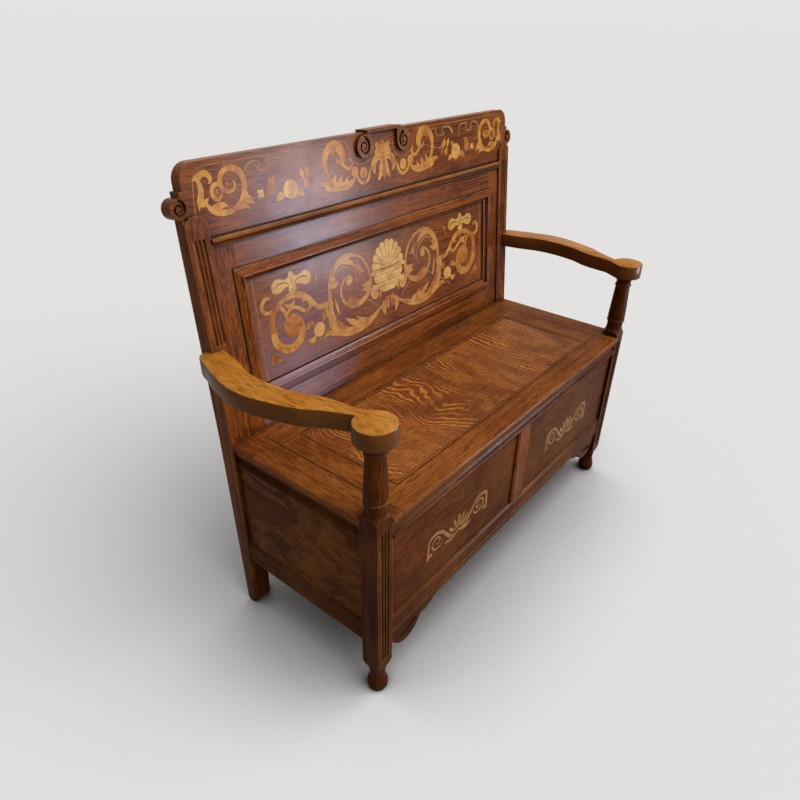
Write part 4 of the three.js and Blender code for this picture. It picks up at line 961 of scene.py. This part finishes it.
class SETTLE_OT_stage(bpy.types.Operator):
    """Sets up the pale floor, the soft lights and the photograph's camera"""

    bl_idname = "settle.stage"
    bl_label = "Stage"

    def execute(self, context):
        self.make_floor()
        self.make_world()
        self.make_lights()
        self.make_camera()
        context.scene.view_settings.view_transform = "Standard"
        return {"FINISHED"}

    def seen_directly(self, tree):
        """1 for what the camera, a reflection or glass sees, and 0 for the light that falls on the bench."""
        path = add_node(tree, "ShaderNodeLightPath")
        seen = add_node(
            tree, "ShaderNodeMath", {"operation": "ADD"},
            {0: path.outputs["Is Camera Ray"], 1: path.outputs["Is Glossy Ray"]},
        ).outputs[0]
        return add_node(
            tree, "ShaderNodeMath", {"operation": "ADD", "use_clamp": True},
            {0: seen, 1: path.outputs["Is Transmission Ray"]},
        ).outputs[0]

    def make_floor(self):
        bpy.ops.mesh.primitive_plane_add(size=FLOOR_SIZE, location=(0, 0, 0))
        floor = bpy.context.object
        floor.name = "floor"
        # Seamless studio paper: pale, matt and plain
        material, tree = new_material("Pale studio floor")
        colour = linear(settings().stage.floor_colour)
        seen = self.seen_directly(tree)
        tone = add_node(tree, "ShaderNodeMix", COLOUR, {0: seen, 6: linear(FLOOR_BOUNCE), 7: colour}).outputs[2]
        # Deeper shade close under the bench, and light scattered back into the rest of its shadow
        closeness = add_node(tree, "ShaderNodeAmbientOcclusion", {"samples": 8}, {"Distance": 0.5}).outputs["AO"]
        shade = add_node(
            tree, "ShaderNodeValToRGB", inputs={0: closeness}, stops=[(0.28, 0.05), (0.82, 0.81)]
        ).outputs[0]
        tone = add_node(tree, "ShaderNodeMix", DARKEN, {0: 1.0, 6: tone, 7: shade}).outputs[2]
        lit = add_node(tree, "ShaderNodeMath", PRODUCT, {0: seen, 1: FLOOR_GLOW}).outputs[0]
        shader = add_node(
            tree,
            "ShaderNodeBsdfPrincipled",
            inputs={"Base Color": tone, "Roughness": 0.9, "Specular IOR Level": 0.0, "Emission Color": tone,
                    "Emission Strength": lit},
        )
        add_node(tree, "ShaderNodeOutputMaterial", inputs={"Surface": shader.outputs[0]})
        floor.data.materials.append(material)

    def make_world(self):
        world = bpy.data.worlds.new("Studio")
        bpy.context.scene.world = world
        world.use_nodes = True
        tree = world.node_tree
        tree.nodes.clear()
        seen = self.seen_directly(tree)
        fill = settings().stage.fill
        shade = (fill, fill, fill, 1.0)
        colour = linear(settings().stage.floor_colour)
        tone = add_node(tree, "ShaderNodeMix", COLOUR, {0: seen, 6: shade, 7: colour}).outputs[2]
        back = add_node(tree, "ShaderNodeBackground", inputs={"Color": tone, "Strength": 1.0}).outputs[0]
        add_node(tree, "ShaderNodeOutputWorld", inputs={"Surface": back})

    def make_lights(self):
        stage = settings().stage
        bpy.ops.object.light_add(type="SUN", location=(0, 0, 3))
        key = bpy.context.object
        key.name = "key"
        key.data.energy = stage.key_strength
        key.data.angle = math.radians(KEY_SPREAD)
        key.rotation_euler = Vector(KEY_DIRECTION).to_track_quat("Z", "Y").to_euler()
        place, target = Vector(WINDOW_PLACE), Vector(WINDOW_TARGET)
        bpy.ops.object.light_add(type="AREA", location=place)
        window = bpy.context.object
        window.name = "window"
        window.data.shape = "RECTANGLE"
        window.data.size, window.data.size_y = WINDOW_SIZE
        window.data.energy = stage.window_power
        window.data.color = linear(WINDOW_COLOUR)[:3]
        window.rotation_euler = (target - place).to_track_quat("-Z", "Y").to_euler()
        window.visible_camera = False
        window.visible_diffuse = False

    def make_camera(self):
        azimuth = math.radians(CAMERA_AZIMUTH)
        elevation = math.radians(CAMERA_ELEVATION)
        roll = math.radians(CAMERA_ROLL)
        back = Vector((
            math.sin(azimuth) * math.cos(elevation),
            -math.cos(azimuth) * math.cos(elevation),
            math.sin(elevation),
        ))
        right = (-back).cross(Vector((0, 0, 1))).normalized()
        up = right.cross(-back)
        turned_right = right * math.cos(roll) + up * math.sin(roll)
        turned_up = up * math.cos(roll) - right * math.sin(roll)
        bpy.ops.object.camera_add(location=Vector(CAMERA_MM) * MM)
        camera = bpy.context.object
        camera.name = "photo_camera"
        camera.rotation_euler = Matrix((turned_right, turned_up, back)).transposed().to_euler()
        camera.data.sensor_width = SENSOR_MM
        camera.data.lens = FOCAL_PIXELS / PHOTO_SIZE * SENSOR_MM
        camera.data.shift_x = (PHOTO_SIZE / 2 - CENTRE_PIXEL[0]) / PHOTO_SIZE
        camera.data.shift_y = (CENTRE_PIXEL[1] - PHOTO_SIZE / 2) / PHOTO_SIZE
        camera.data.clip_end = 100.0
        bpy.context.scene.camera = camera


class SETTLE_PT_panel(bpy.types.Panel):
    """Buttons for the bench"""

    bl_label = "Settle bench"
    bl_idname = "SETTLE_PT_panel"
    bl_space_type = "VIEW_3D"
    bl_region_type = "UI"
    bl_category = "Settle bench"

    def draw(self, context):
        for group in (settings().finish, settings().veneer, settings().stage):
            for name in group.__annotations__:
                self.layout.prop(group, name)
        for operator in OPERATORS:
            self.layout.operator(operator.bl_idname)


OPERATORS = (
    SETTLE_OT_finish_oak, SETTLE_OT_crest_marquetry, SETTLE_OT_panel_marquetry, SETTLE_OT_front_marquetry,
    SETTLE_OT_seam_shade_and_dirt, SETTLE_OT_stage,
)
CLASSES = (FinishSettings, StageSettings, VeneerSettings, BenchSettings, *OPERATORS, SETTLE_PT_panel)


def register():
    for cls in CLASSES:
        bpy.utils.register_class(cls)
    bpy.types.Scene.settle_bench = PointerProperty(type=BenchSettings)


def unregister():
    del bpy.types.Scene.settle_bench
    for cls in reversed(CLASSES):
        bpy.utils.unregister_class(cls)


def main():
    register()
    bpy.ops.settle.finish_oak()
    bpy.ops.settle.crest_marquetry()
    bpy.ops.settle.panel_marquetry()
    bpy.ops.settle.front_marquetry()
    bpy.ops.settle.seam_dirt()
    bpy.ops.settle.stage()


if __name__ == "__main__":
    main()
